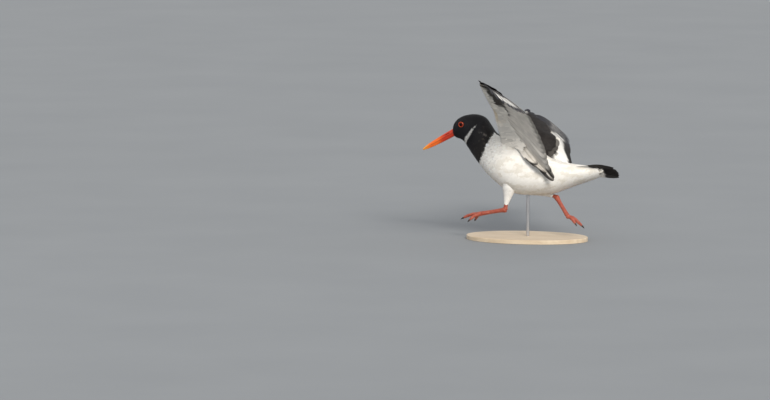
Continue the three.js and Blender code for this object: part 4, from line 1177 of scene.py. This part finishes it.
# ------------------------------------------------------------------ tail
TAIL_ROOT = np.array([0, 93, 143.2])
_roll = math.radians(29)
TAIL_LEFT = np.array([math.cos(_roll), 0, math.sin(_roll)])
TAIL_DIR = unit(np.array([0, 1, 0.06]))
TAIL_UP = -unit(np.cross(TAIL_DIR, TAIL_LEFT))
tail = []
for i in range(12):
    q = i / 11 * 2 - 1
    sp = math.radians(11.5 * q + (3 if q > 0 else -1))
    f = TAIL_DIR * math.cos(sp) + TAIL_LEFT * math.sin(sp)
    # the middle pair lies on top
    r0 = TAIL_ROOT + TAIL_LEFT * q * 9 + TAIL_UP * (-3.2 * q * q + 0.5 + 1.2 * max(0, q))
    _r = rng(1480 + i)
    L = TAIL_LENGTH - 4 * q * q - 4.5 * q - 9 * min(1, max(0, q / 0.5)) + _r.uniform(-2.0, 0.8)
    lift = 0.75 * (1 - abs(q))
    side = 1 if q > 0 else -1
    path = lambda t, r0=r0, f=f, L=L, lift=lift: r0[None] + f[None] * (L * t)[:, None] + TAIL_UP[None] * (lift * 1.6 - 0.8 - 2.2 * t ** 2)[:, None]
    normal = lambda t: np.repeat(TAIL_UP[None], len(t), 0)

    def tail_top(t, x, p, q=q):
        noise = value_noise(p, 5, 31)
        edge = (0.53 if q > 0 else 0.63) + 0.05 * q * q + 0.03 * (noise - 0.5) + 0.03 * np.abs(x)
        b = smooth(edge - 0.012, edge + 0.012, t)[:, None]
        c = WHITE[None] * (1 - b) + (BLACK * 1.2)[None] * (0.8 + 0.5 * noise[:, None]) * b
        return np.where((np.abs(x) < 0.06)[:, None], c * 0.7 + 0.02, c)

    def tail_bottom(t, x, p, q=q):
        # the under face: its white dimmed (c * 0.93) as painted shade, its black a paler brown-black
        c = tail_top(t, x, p, q)
        b = (c.mean(1) < 0.3)[:, None]
        return np.where(b, BROWN_BLACK[None] * 1.5 + 0.01, c * 0.93)

    lat = unit(np.cross(TAIL_UP, f))
    outer_is_lat = (lat @ TAIL_LEFT) * side > 0
    tail.append(flight_feather(path, normal, 8.4, 8.4, 0.45, 0.0, 0.5, tail_top, tail_bottom, 0.42, 1500 + i, nt=24, t0=0.25, shaft=0.35, splits=3))
feather_group("feathers_tail", tail, ["tail"])

# ------------------------------------------------------------------ bill
FACE = np.array([0, -154.6, 210.0])
_down = math.radians(28)
BILL_DIR = np.array([0, -math.cos(_down), -math.sin(_down)])
BILL_UP = np.array([0, -math.sin(_down), math.cos(_down)])


def bill_tone(t, y, x, p):
    """t along the bill, y height above the gape line (mm), x across."""
    red = np.array([0.60, 0.040, 0.008])
    orange = np.array([0.86, 0.150, 0.012])
    yellow = np.array([0.90, 0.36, 0.035])
    n = value_noise(p, 6, 41)
    tt = t + 0.05 * (n - 0.5) + 0.006 * y
    a = smooth(0.30, 0.52, tt)[:, None]
    b = smooth(0.70, 1.0, tt)[:, None]
    c = red[None] * (1 - a) + orange[None] * a
    c = c * (1 - b) + yellow[None] * b
    # faint lengthwise streaks
    s = value_noise(np.stack([x * 3, y * 3, t * 20], -1), 1.6, 42)
    return c * (0.86 + 0.24 * s[:, None])


def bill_half(upper):
    m, nf = 90, 49
    t = lerp(-0.08, 1.0, 1 - (1 - np.linspace(0, 1, m)) ** 1.6)
    s = np.maximum(0, t)
    c = FACE[None] + BILL_DIR[None] * (t * BILL_LENGTH)[:, None] - BILL_UP[None] * (1.2 * s * s)[:, None]
    top = BILL_DEPTH * (0.56 - 0.2 * s - 0.1 * s * s) * np.sqrt(np.maximum(0, 1 - s ** 9) + 0.004)
    bot = BILL_DEPTH * (0.46 + 0.06 * s - 0.32 * s * s) * np.sqrt(np.maximum(0, 1 - s ** 8) + 0.004)
    half = BILL_WIDTH * (0.5 - 0.34 * s ** 0.7) * np.sqrt(np.maximum(0, 1 - s ** 10) + 0.01)
    deep = top if upper else bot
    f = np.linspace(0, np.pi, nf)
    cf, sf = np.cos(f), np.sin(f)
    # the ridge is a little flattened at the base and narrows forwards; the sides are gently hollow at the nostril
    X = cf[None] * half[:, None] * (1 - 0.06 * sf[None] ** 2)
    Y = sf[None] ** 0.92 * deep[:, None]
    if upper:
        groove = np.exp(-((sf[None] - 0.50) / 0.17) ** 2) * (smooth(0.03, 0.12, s) * smooth(0.56, 0.36, s))[:, None] * 0.75
        slot = np.exp(-((sf[None] - 0.43) / 0.075) ** 2) * (smooth(0.10, 0.13, s) * smooth(0.275, 0.235, s))[:, None] * 1.1
        X = X - np.sign(cf)[None] * (groove + slot)
    else:
        slot = np.zeros_like(X)
        ridge = np.exp(-((sf[None] - 0.5) / 0.2) ** 2) * (smooth(0.1, 0.3, s) * smooth(0.8, 0.6, s))[:, None] * 0.3
        X = X - np.sign(cf)[None] * ridge
    # the cutting edges turn in
    Yo = Y * (1 if upper else -1) + (0.12 if upper else -0.12)
    P = c[:, None] + np.array([1.0, 0, 0])[None, None] * X[..., None] + BILL_UP[None, None] * Yo[..., None]
    # inner floor closes the mandible: return along a slightly hollow palate
    inner = np.linspace(1, -1, 13)[1:-1]
    Xi = -inner[None] * half[:, None] * 0.97
    Yi = (np.broadcast_to((1 - inner[None] ** 2), Xi.shape) * 0.5 + 0.10) * (1 if upper else -1)
    Pi = c[:, None] + np.array([1.0, 0, 0])[None, None] * Xi[..., None] + BILL_UP[None, None] * Yi[..., None]
    R = np.concatenate([P, Pi], 1)
    nc = R.shape[1]
    T = np.broadcast_to(t[:, None], (m, nc))
    YY = np.concatenate([Yo, Yi], 1)
    XX = np.concatenate([X, Xi], 1)
    col = bill_tone(T.ravel(), YY.ravel(), XX.ravel(), R.reshape(-1, 3)).reshape(m, nc, 3)
    # painted shade: the edge of the gape, the palate inside and the nostril slot are darker
    edge = np.concatenate([np.exp(-(Y / 0.35) ** 2), np.ones_like(Xi)], 1)
    col = col * (1 - 0.45 * edge[..., None])
    if upper:
        col[:, :nf] = col[:, :nf] * (1 - 0.85 * np.clip(slot, 0, 1))[..., None]
    V = np.concatenate([R.reshape(-1, 3), R[0].mean(0)[None], R[-1].mean(0)[None]])
    C = np.concatenate([col.reshape(-1, 3), col[0].mean(0)[None], col[-1].mean(0)[None]])
    i = np.arange(nc)
    j = (i + 1) % nc
    T3 = np.concatenate([np.stack([j, i, np.full(nc, m * nc)], -1), np.stack([(m - 1) * nc + i, (m - 1) * nc + j, np.full(nc, m * nc + 1)], -1)])
    return mesh_object("bill_horn_" + ("upper" if upper else "lower"), V, grid_quads(m, nc, 0, True), C, tris=T3)


def horn_material():
    m = Nodes("bill_horn")
    col = m.add("ShaderNodeAttribute", attribute_name="Col")
    tc = m.add("ShaderNodeTexCoord")
    mp = m.add("ShaderNodeMapping")
    mp.inputs["Rotation"].default_value = (-_down, 0, 0)
    mp.inputs["Scale"].default_value = (1.0, 0.16, 1.0)
    m.link(tc.outputs["Object"], mp.inputs["Vector"])
    n = m.add("ShaderNodeTexNoise", Scale=1400.0, Detail=4.0)
    m.link(mp.outputs[0], n.inputs["Vector"])
    big = m.add("ShaderNodeTexNoise", Scale=160.0, Detail=2.0)
    m.link(tc.outputs["Object"], big.inputs["Vector"])
    f = m.math("ADD", 0.8, m.math("MULTIPLY", m.math("ADD", n.outputs["Fac"], big.outputs["Fac"]), 0.2))
    c = m.add("ShaderNodeCombineColor")
    for i in range(3):
        m.link(f, c.inputs[i])
    m.link(m.mix(1.0, col.outputs["Color"], c.outputs[0], "MULTIPLY"), m.bsdf.inputs["Base Color"])
    m.link(m.math("ADD", 0.2, m.math("MULTIPLY", big.outputs["Fac"], 0.3)), m.bsdf.inputs["Roughness"])
    m.bsdf.inputs["Subsurface Weight"].default_value = 0.06
    m.bsdf.inputs["Subsurface Radius"].default_value = (0.004, 0.0015, 0.0006)
    m.bsdf.inputs["Subsurface Scale"].default_value = 1.0
    m.bump(n.outputs["Fac"], 0.18, 0.0003)
    return m.mat


MAT_HORN = horn_material()
for upper in (True, False):
    ob = bill_half(upper)
    ob.data.materials.append(MAT_HORN)
    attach(ob, "root")
    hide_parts("bill_upper" if upper else "bill_lower")


# ------------------------------------------------------------------ eyes
def eye_material():
    m = Nodes("eye_glass")
    col = m.add("ShaderNodeAttribute", attribute_name="Col")
    tc = m.add("ShaderNodeTexCoord")
    n = m.add("ShaderNodeTexNoise", Scale=2600.0, Detail=3.0)
    m.link(tc.outputs["Object"], n.inputs["Vector"])
    f = m.math("ADD", 0.75, m.math("MULTIPLY", n.outputs["Fac"], 0.5))
    c = m.add("ShaderNodeCombineColor")
    for i in range(3):
        m.link(f, c.inputs[i])
    m.link(m.mix(1.0, col.outputs["Color"], c.outputs[0], "MULTIPLY"), m.bsdf.inputs["Base Color"])
    m.bsdf.inputs["Roughness"].default_value = 0.06
    m.bsdf.inputs["Specular IOR Level"].default_value = 0.12
    return m.mat


def lid_material():
    m = Nodes("eye_ring")
    col = m.add("ShaderNodeAttribute", attribute_name="Col")
    tc = m.add("ShaderNodeTexCoord")
    n = m.add("ShaderNodeTexVoronoi", Scale=2400.0)
    m.link(tc.outputs["Object"], n.inputs["Vector"])
    f = m.math("ADD", 0.8, m.math("MULTIPLY", n.outputs["Distance"], 0.5))
    c = m.add("ShaderNodeCombineColor")
    for i in range(3):
        m.link(f, c.inputs[i])
    m.link(m.mix(1.0, col.outputs["Color"], c.outputs[0], "MULTIPLY"), m.bsdf.inputs["Base Color"])
    m.bsdf.inputs["Roughness"].default_value = 0.42
    m.bump(n.outputs["Distance"], 0.4, 0.0003)
    return m.mat


MAT_EYE, MAT_LID = eye_material(), lid_material()
for n, e in EYES.items():
    sx = 1 if n == "left" else -1
    c0 = np.array(e)
    axis = unit(np.array([sx * 1.0, -0.20, 0.05]))
    ev = unit(np.cross(axis, np.array([0, 0, 1.0])))
    ew = np.cross(ev, axis)
    # eyeball: latitude about the axis, with a slight bulge of the cornea
    lat = np.linspace(0, np.pi, 61)
    lon = np.arange(64) / 64 * TAU
    R = 5.9 + 0.35 * np.exp(-(lat / 0.42) ** 2)
    P = c0 + axis * (np.cos(lat) * R)[:, None, None] + (ev[None, None] * np.cos(lon)[None, :, None] + ew[None, None] * np.sin(lon)[None, :, None]) * (np.sin(lat) * R)[:, None, None]
    ang = np.degrees(lat)[:, None] + 0 * lon[None]
    pupil = smooth(29.5, 27.5, ang)[..., None]
    iris = smooth(50, 45, ang)[..., None]
    fibre = value_noise(np.stack([np.cos(lon)[None] * 20 + 0 * ang, np.sin(lon)[None] * 20 + 0 * ang, ang * 0.1], -1).reshape(-1, 3), 1.2, 51).reshape(ang.shape)[..., None]
    red = np.array([0.21, 0.012, 0.006]) * (0.6 + 0.6 * fibre)
    red = red * (1 - 0.5 * smooth(40, 48, ang)[..., None])
    white = np.array([0.04, 0.02, 0.018])
    col = white * (1 - iris) + red * iris
    col = col * (1 - pupil) + np.array([0.002, 0.002, 0.002]) * pupil
    q = grid_quads(61, 64, 0, True)
    eye = mesh_object("eyeball_" + n, P.reshape(-1, 3), q if n == "left" else q[:, ::-1], col.reshape(-1, 3))
    eye.data.materials.append(MAT_EYE)
    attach(eye, "root")
    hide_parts("eye_" + n)
    # fleshy ring with an upper and a lower lid fold
    lon = np.arange(96) / 96 * TAU
    prof = np.linspace(0, TAU, 17)[:-1]
    open_h = 4.55 - 0.35 * np.abs(np.sin(lon)) ** 2  # the opening is a little lower than long
    rr = open_h[:, None] + 0.62 + 0.6 * np.cos(prof)[None] + 0.03 * np.sin(lon * 23)[:, None] * (np.cos(prof) > 0)[None]
    hh = 4.35 - 0.30 * (rr - 4.0) ** 1.0 + 0.85 * np.sin(prof)[None]
    P = c0 + axis * hh[..., None] + (ev * np.cos(lon)[:, None, None] + ew * np.sin(lon)[:, None, None]) * rr[..., None]
    base = np.array([0.66, 0.085, 0.022])
    nn = value_noise(P.reshape(-1, 3), 1.3, 52).reshape(rr.shape)[..., None]
    col = base * (0.75 + 0.45 * nn) * (1 - 0.35 * smooth(0.2, 1.0, -np.cos(prof))[None, :, None])
    V = P.reshape(-1, 3)
    nl, npf = rr.shape
    a = np.arange(nl)[:, None] * npf
    b = (np.arange(nl)[:, None] + 1) % nl * npf
    c = np.arange(npf)[None]
    d = (c + 1) % npf
    q = np.stack([a + c, b + c, b + d, a + d], -1).reshape(-1, 4)
    ring = mesh_object("eyelid_" + n, V, q if n == "right" else q[:, ::-1], col.reshape(-1, 3))
    ring.data.materials.append(MAT_LID)
    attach(ring, "root")


# ------------------------------------------------------------------ legs
def scale_material():
    m = Nodes("leg_scales")
    col = m.add("ShaderNodeAttribute", attribute_name="Col")
    tc = m.add("ShaderNodeTexCoord")
    v = m.add("ShaderNodeTexVoronoi", Scale=620.0)
    v.feature = "DISTANCE_TO_EDGE"
    m.link(tc.outputs["Object"], v.inputs["Vector"])
    cell = m.add("ShaderNodeTexVoronoi", Scale=620.0)
    m.link(tc.outputs["Object"], cell.inputs["Vector"])
    edge = m.math("MULTIPLY", v.outputs["Distance"], 6.0, clamp=True)
    sep = m.add("ShaderNodeSeparateColor")
    m.link(cell.outputs["Color"], sep.inputs[0])
    f = m.math("MULTIPLY", m.math("ADD", 0.66, m.math("MULTIPLY", edge, 0.34)), m.math("ADD", 0.86, m.math("MULTIPLY", sep.outputs[0], 0.26)))
    c = m.add("ShaderNodeCombineColor")
    for i in range(3):
        m.link(f, c.inputs[i])
    m.link(m.mix(1.0, col.outputs["Color"], c.outputs[0], "MULTIPLY"), m.bsdf.inputs["Base Color"])
    m.link(m.math("ADD", 0.62, m.math("MULTIPLY", edge, -0.2)), m.bsdf.inputs["Roughness"])
    m.bsdf.inputs["Subsurface Weight"].default_value = 0.05
    m.bsdf.inputs["Subsurface Radius"].default_value = (0.003, 0.001, 0.0006)
    m.bsdf.inputs["Subsurface Scale"].default_value = 1.0
    m.bump(edge, 0.6, 0.0004)
    return m.mat


def claw_material():
    m = Nodes("claw_horn")
    tc = m.add("ShaderNodeTexCoord")
    n = m.add("ShaderNodeTexNoise", Scale=900.0, Detail=3.0)
    m.link(tc.outputs["Object"], n.inputs["Vector"])
    m.link(m.ramp(n.outputs["Fac"], [(0.3, (0.012, 0.01, 0.009)), (0.7, (0.05, 0.036, 0.03))]), m.bsdf.inputs["Base Color"])
    m.bsdf.inputs["Roughness"].default_value = 0.35
    m.bump(n.outputs["Fac"], 0.2, 0.0003)
    return m.mat


MAT_SCALE, MAT_CLAW = scale_material(), claw_material()
CORAL = np.array([0.46, 0.075, 0.038])
CORAL_PALE = np.array([0.68, 0.20, 0.125])


def tube(name, points, radii, nr=60, nc=32, flat=1.0, ring_wave=0.0, sole=None, colour=None, cap_round=True):
    """A smooth closed limb through points with radii; ring_wave raises scutes across it (mm)."""
    points, radii = np.asarray(points, float), np.asarray(radii, float)
    seg = np.concatenate([[0], np.cumsum(np.linalg.norm(np.diff(points, axis=0), axis=1))])
    d = np.linspace(0, seg[-1], nr)
    u = np.interp(d, seg, np.arange(len(points)))
    C = catmull(points, u)
    R = np.maximum(catmull(radii[:, None], u)[:, 0], 0.3)
    ends = np.minimum(d, seg[-1] - d)
    if cap_round:
        R = R * np.sqrt(np.clip(1 - (1 - np.clip(ends / np.maximum(R, 0.5), 0, 1)) ** 2, 0.02, 1))
    T = unit(np.gradient(C, axis=0))
    side = unit(np.cross(T, np.array([0.15, 0.3, 1.0])))
    up = np.cross(side, T)
    f = np.arange(nc) / nc * TAU
    wave = ring_wave * np.maximum(0, np.sin(f))[None] ** 0.5 * np.abs(np.sin(d / 1.5))[:, None]
    rr = R[:, None] + wave
    P = C[:, None] + side[:, None] * (np.cos(f)[None, :, None] * rr[..., None]) + up[:, None] * (np.sin(f)[None, :, None] * rr[..., None] * flat)
    F = np.broadcast_to(f[None], rr.shape)
    D = np.broadcast_to((d / seg[-1])[:, None], rr.shape)
    col = colour(D.ravel(), F.ravel(), P.reshape(-1, 3)) if colour else np.repeat(CORAL[None], P.shape[0] * P.shape[1], 0)
    V = np.concatenate([P.reshape(-1, 3), C[:1], C[-1:]])
    col = np.concatenate([col, col[:1], col[-1:]])
    i, j = np.arange(nc), (np.arange(nc) + 1) % nc
    T3 = np.concatenate([np.stack([j, i, np.full(nc, nr * nc)], -1), np.stack([(nr - 1) * nc + i, (nr - 1) * nc + j, np.full(nc, nr * nc + 1)], -1)])
    return V, grid_quads(nr, nc, 0, True), T3, col


def join_parts(name, parts, mat, voxel=None, smooth_n=4):
    V, Q, T, C = [], [], [], []
    base = 0
    for v, q, t, c in parts:
        V.append(v); Q.append(q + base); T.append(t + base); C.append(c)
        base += len(v)
    V, C = np.concatenate(V), np.concatenate(C)
    ob = mesh_object(name, V, np.concatenate(Q), C, tris=np.concatenate(T))
    import bmesh
    bm = bmesh.new()
    bm.from_mesh(ob.data)
    bmesh.ops.recalc_face_normals(bm, faces=bm.faces)
    bm.to_mesh(ob.data)
    bm.free()
    if voxel:
        tree = kdtree.KDTree(len(V))
        for i, p in enumerate(V):
            tree.insert(p * MM, i)
        tree.balance()
        mod = ob.modifiers.new("one", "REMESH")
        mod.mode = "VOXEL"
        mod.voxel_size = voxel * MM
        sm = ob.modifiers.new("smooth", "SMOOTH")
        sm.factor, sm.iterations = 0.5, smooth_n
        me = bpy.data.meshes.new_from_object(ob.evaluated_get(bpy.context.evaluated_depsgraph_get()))
        ob.modifiers.clear()
        ob.data = me
        for a in list(me.color_attributes):
            me.color_attributes.remove(a)
        co = np.empty(len(me.vertices) * 3, np.float32)
        me.vertices.foreach_get("co", co)
        idx = np.array([tree.find(p)[1] for p in co.reshape(-1, 3)])
        at = me.color_attributes.new("Col", "FLOAT_COLOR", "POINT")
        c = np.ones((len(idx), 4), np.float32)
        c[:, :3] = C[idx]
        at.data.foreach_set("color", c.ravel())
        me.polygons.foreach_set("use_smooth", np.ones(len(me.polygons), bool))
    ob.data.materials.clear()
    ob.data.materials.append(mat)
    return ob


def leg_colour(d, f, p):
    n = value_noise(p, 4, 61)[:, None]
    fine = value_noise(p, 1.4, 62)[:, None]
    c = CORAL[None] * (1 - n * 0.6) + CORAL_PALE[None] * n * 0.6
    return c * (0.66 + 0.28 * fine)


for n, leg in LEGS.items():
    knee, ankle, foot = leg.knee, leg.ankle, leg.foot
    tib = lambda t: knee + (ankle - knee) * t
    sh = foot - ankle
    R0 = 4.2
    parts = [tube("shank", [tib(0.6), tib(0.75), tib(0.86), tib(0.96), ankle, ankle + sh * 0.08, ankle + sh * 0.2, ankle + sh * 0.55, ankle + sh * 0.85, ankle + sh * 0.985],
                  [3.7, 3.7, 3.8, 4.7, 5.5, 5.0, R0, R0 * 0.93, R0, R0 * 1.15], nr=120, nc=36, ring_wave=0.22, colour=leg_colour)]
    shank = join_parts("shank_" + n, parts, MAT_SCALE, voxel=0.55, smooth_n=2)
    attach(shank, "root")
    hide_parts("leg_%s_tarsus" % n)
    parts = []
    names = ("inner", "middle", "outer")
    for i, tip in enumerate(leg.toes):
        l = tip - foot
        arch = np.array([0, 0, 3.2])
        at = lambda t: foot + l * t + arch * math.sin(math.pi * t)
        slim = 1 if i == 1 else 0.94
        st = [(0, 4.1), (0.15, 3.8), (0.3, 3.5), (0.42, 3.8), (0.55, 3.15), (0.66, 3.4), (0.78, 2.8), (0.86, 2.65)]
        parts.append(tube("toe", [at(a) for a, _ in st], [r * slim for _, r in st], nr=64, nc=26, ring_wave=0.25, flat=0.9, colour=leg_colour))
        cl = tube("claw", [at(0.83), at(0.9), at(0.96), at(1.0) - np.array([0, 0, 0.8])], [2.3, 2.0, 1.3, 0.4], nr=30, nc=20, flat=0.85)
        claw = join_parts("nail_%s_%s" % (n, names[i]), [cl], MAT_CLAW)
        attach(claw, "root")
        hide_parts("leg_%s_claw_%s" % (n, names[i]))
    # palm and the short web between the bases of the toes
    f1 = unit(leg.toes[1] - foot)
    parts.append(tube("palm", [foot - f1 * 3.6, foot - f1 * 1.5, foot + f1 * 3, foot + f1 * 6], [3.3, 4.9, 4.7, 3.8], nr=30, nc=26, colour=leg_colour))
    for i in (0, 2):
        a, b = leg.toes[1] - foot, leg.toes[i] - foot
        arch = np.array([0, 0, 2.2])
        for s in np.linspace(0.12, 0.88, 6):
            reach = 0.33 - 0.12 * math.sin(math.pi * s)
            e = foot + (a * (1 - s) + b * s) * reach + arch * 0.8
            parts.append(tube("web", [foot, foot * 0.5 + e * 0.5, e], [1.7, 1.5, 1.0], nr=16, nc=10, colour=leg_colour))
    ob = join_parts("foot_" + n, parts, MAT_SCALE, voxel=0.55, smooth_n=3)
    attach(ob, "root")
    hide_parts("leg_%s_foot" % n)


# ------------------------------------------------------------------ stand
def wood_material():
    m = Nodes("stand_wood")
    tc = m.add("ShaderNodeTexCoord")
    mp = m.add("ShaderNodeMapping")
    mp.inputs["Scale"].default_value = (1.0, 0.09, 1.0)
    m.link(tc.outputs["Object"], mp.inputs["Vector"])
    w = m.add("ShaderNodeTexNoise", Scale=95.0, Detail=5.0, Roughness=0.6, Distortion=0.5)
    m.link(mp.outputs[0], w.inputs["Vector"])
    p = m.add("ShaderNodeTexNoise", Scale=900.0, Detail=3.0)
    m.link(mp.outputs[0], p.inputs["Vector"])
    base = m.ramp(w.outputs["Fac"], [(0.25, (0.52, 0.40, 0.27)), (0.5, (0.64, 0.52, 0.37)), (0.75, (0.72, 0.61, 0.46))])
    m.link(m.mix(m.math("MULTIPLY", p.outputs["Fac"], 0.25), base, (0.42, 0.31, 0.2)), m.bsdf.inputs["Base Color"])
    m.link(m.math("ADD", 0.4, m.math("MULTIPLY", p.outputs["Fac"], 0.2)), m.bsdf.inputs["Roughness"])
    m.bump(p.outputs["Fac"], 0.15, 0.0003)
    return m.mat


def steel_material():
    m = Nodes("stand_steel")
    tc = m.add("ShaderNodeTexCoord")
    mp = m.add("ShaderNodeMapping")
    mp.inputs["Scale"].default_value = (1.0, 1.0, 0.03)
    m.link(tc.outputs["Object"], mp.inputs["Vector"])
    n = m.add("ShaderNodeTexNoise", Scale=2500.0, Detail=2.0)
    m.link(mp.outputs[0], n.inputs["Vector"])
    m.link(m.ramp(n.outputs["Fac"], [(0.3, (0.50, 0.50, 0.51)), (0.7, (0.66, 0.66, 0.67))]), m.bsdf.inputs["Base Color"])
    m.bsdf.inputs["Metallic"].default_value = 1.0
    m.link(m.math("ADD", 0.24, m.math("MULTIPLY", n.outputs["Fac"], 0.18)), m.bsdf.inputs["Roughness"])
    m.bump(n.outputs["Fac"], 0.08, 0.0002)
    return m.mat


for node, mat in (("stand_base", wood_material()), ("stand_rod", steel_material())):
    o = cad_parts[node]
    for s in range(max(1, len(o.material_slots))):
        if not o.material_slots:
            o.data.materials.append(mat)
        else:
            o.material_slots[s].link = "OBJECT"
            o.material_slots[s].material = mat


# ------------------------------------------------------------------ floor, light, camera
def floor_material():
    m = Nodes("studio_floor")
    tc = m.add("ShaderNodeTexCoord")
    n = m.add("ShaderNodeTexNoise", Scale=3.0, Detail=4.0)
    m.link(tc.outputs["Object"], n.inputs["Vector"])
    m.link(m.ramp(n.outputs["Fac"], [(0.3, (0.235, 0.25, 0.265)), (0.7, (0.25, 0.265, 0.28))]), m.bsdf.inputs["Base Color"])
    m.bsdf.inputs["Roughness"].default_value = 0.85
    return m.mat


def plane(name, size, z, mat):
    me = bpy.data.meshes.new(name)
    s = size / 2
    me.from_pydata([(-s, -s, z), (s, -s, z), (s, s, z), (-s, s, z)], [], [(0, 1, 2, 3)])
    ob = bpy.data.objects.new(name, me)
    bpy.context.scene.collection.objects.link(ob)
    me.materials.append(mat)
    return ob


floor = plane("floor", 80.0, -0.0004, floor_material())

world = bpy.data.worlds.new("studio")
bpy.context.scene.world = world
world.use_nodes = True
bg = next(n for n in world.node_tree.nodes if n.type == "BACKGROUND")
bg.inputs["Color"].default_value = (0.92, 0.93, 0.95, 1)
bg.inputs["Strength"].default_value = 0.74


def area(name, at, target, size, power, colour=(1, 1, 1)):
    li = bpy.data.lights.new(name, "AREA")
    li.shape = "DISK"
    li.size = size
    li.energy = power
    li.color = colour
    ob = bpy.data.objects.new(name, li)
    ob.location = at
    ob.rotation_mode = "QUATERNION"
    ob.rotation_quaternion = (Vector(target) - Vector(at)).to_track_quat("-Z", "Y")
    bpy.context.scene.collection.objects.link(ob)


bpy.context.scene.view_settings.view_transform = "Standard"

MIDDLE = (0.0, 0.0, 0.17)
sun_data = bpy.data.lights.new("key", "SUN")
sun_data.energy = 2.95
sun_data.angle = 0.35
sun_data.color = (1.0, 0.955, 0.885)
sun = bpy.data.objects.new("key", sun_data)
sun.rotation_mode = "QUATERNION"
sun.rotation_quaternion = Vector((-1.15, -0.88, -0.8)).to_track_quat("-Z", "Y")
bpy.context.scene.collection.objects.link(sun)
area("fill", (2.2, -1.6, 1.2), MIDDLE, 2.2, 3, (0.93, 0.96, 1.0))

cam_data = bpy.data.cameras.new("camera")
cam_data.lens = 280.5
cam_data.sensor_width = 36.0
cam_data.clip_start, cam_data.clip_end = 0.1, 200.0
cam = bpy.data.objects.new("camera", cam_data)
bpy.context.scene.collection.objects.link(cam)
bpy.context.scene.camera = cam
_az, _el = math.radians(110), math.radians(6)
_back = Vector((math.sin(_az) * math.cos(_el), -math.cos(_az) * math.cos(_el), math.sin(_el)))
cam.location = Vector((0.0894, -0.2697, 0.0786)) + _back * 12.0
cam.rotation_mode = "QUATERNION"
cam.rotation_quaternion = (-_back).to_track_quat("-Z", "Y")
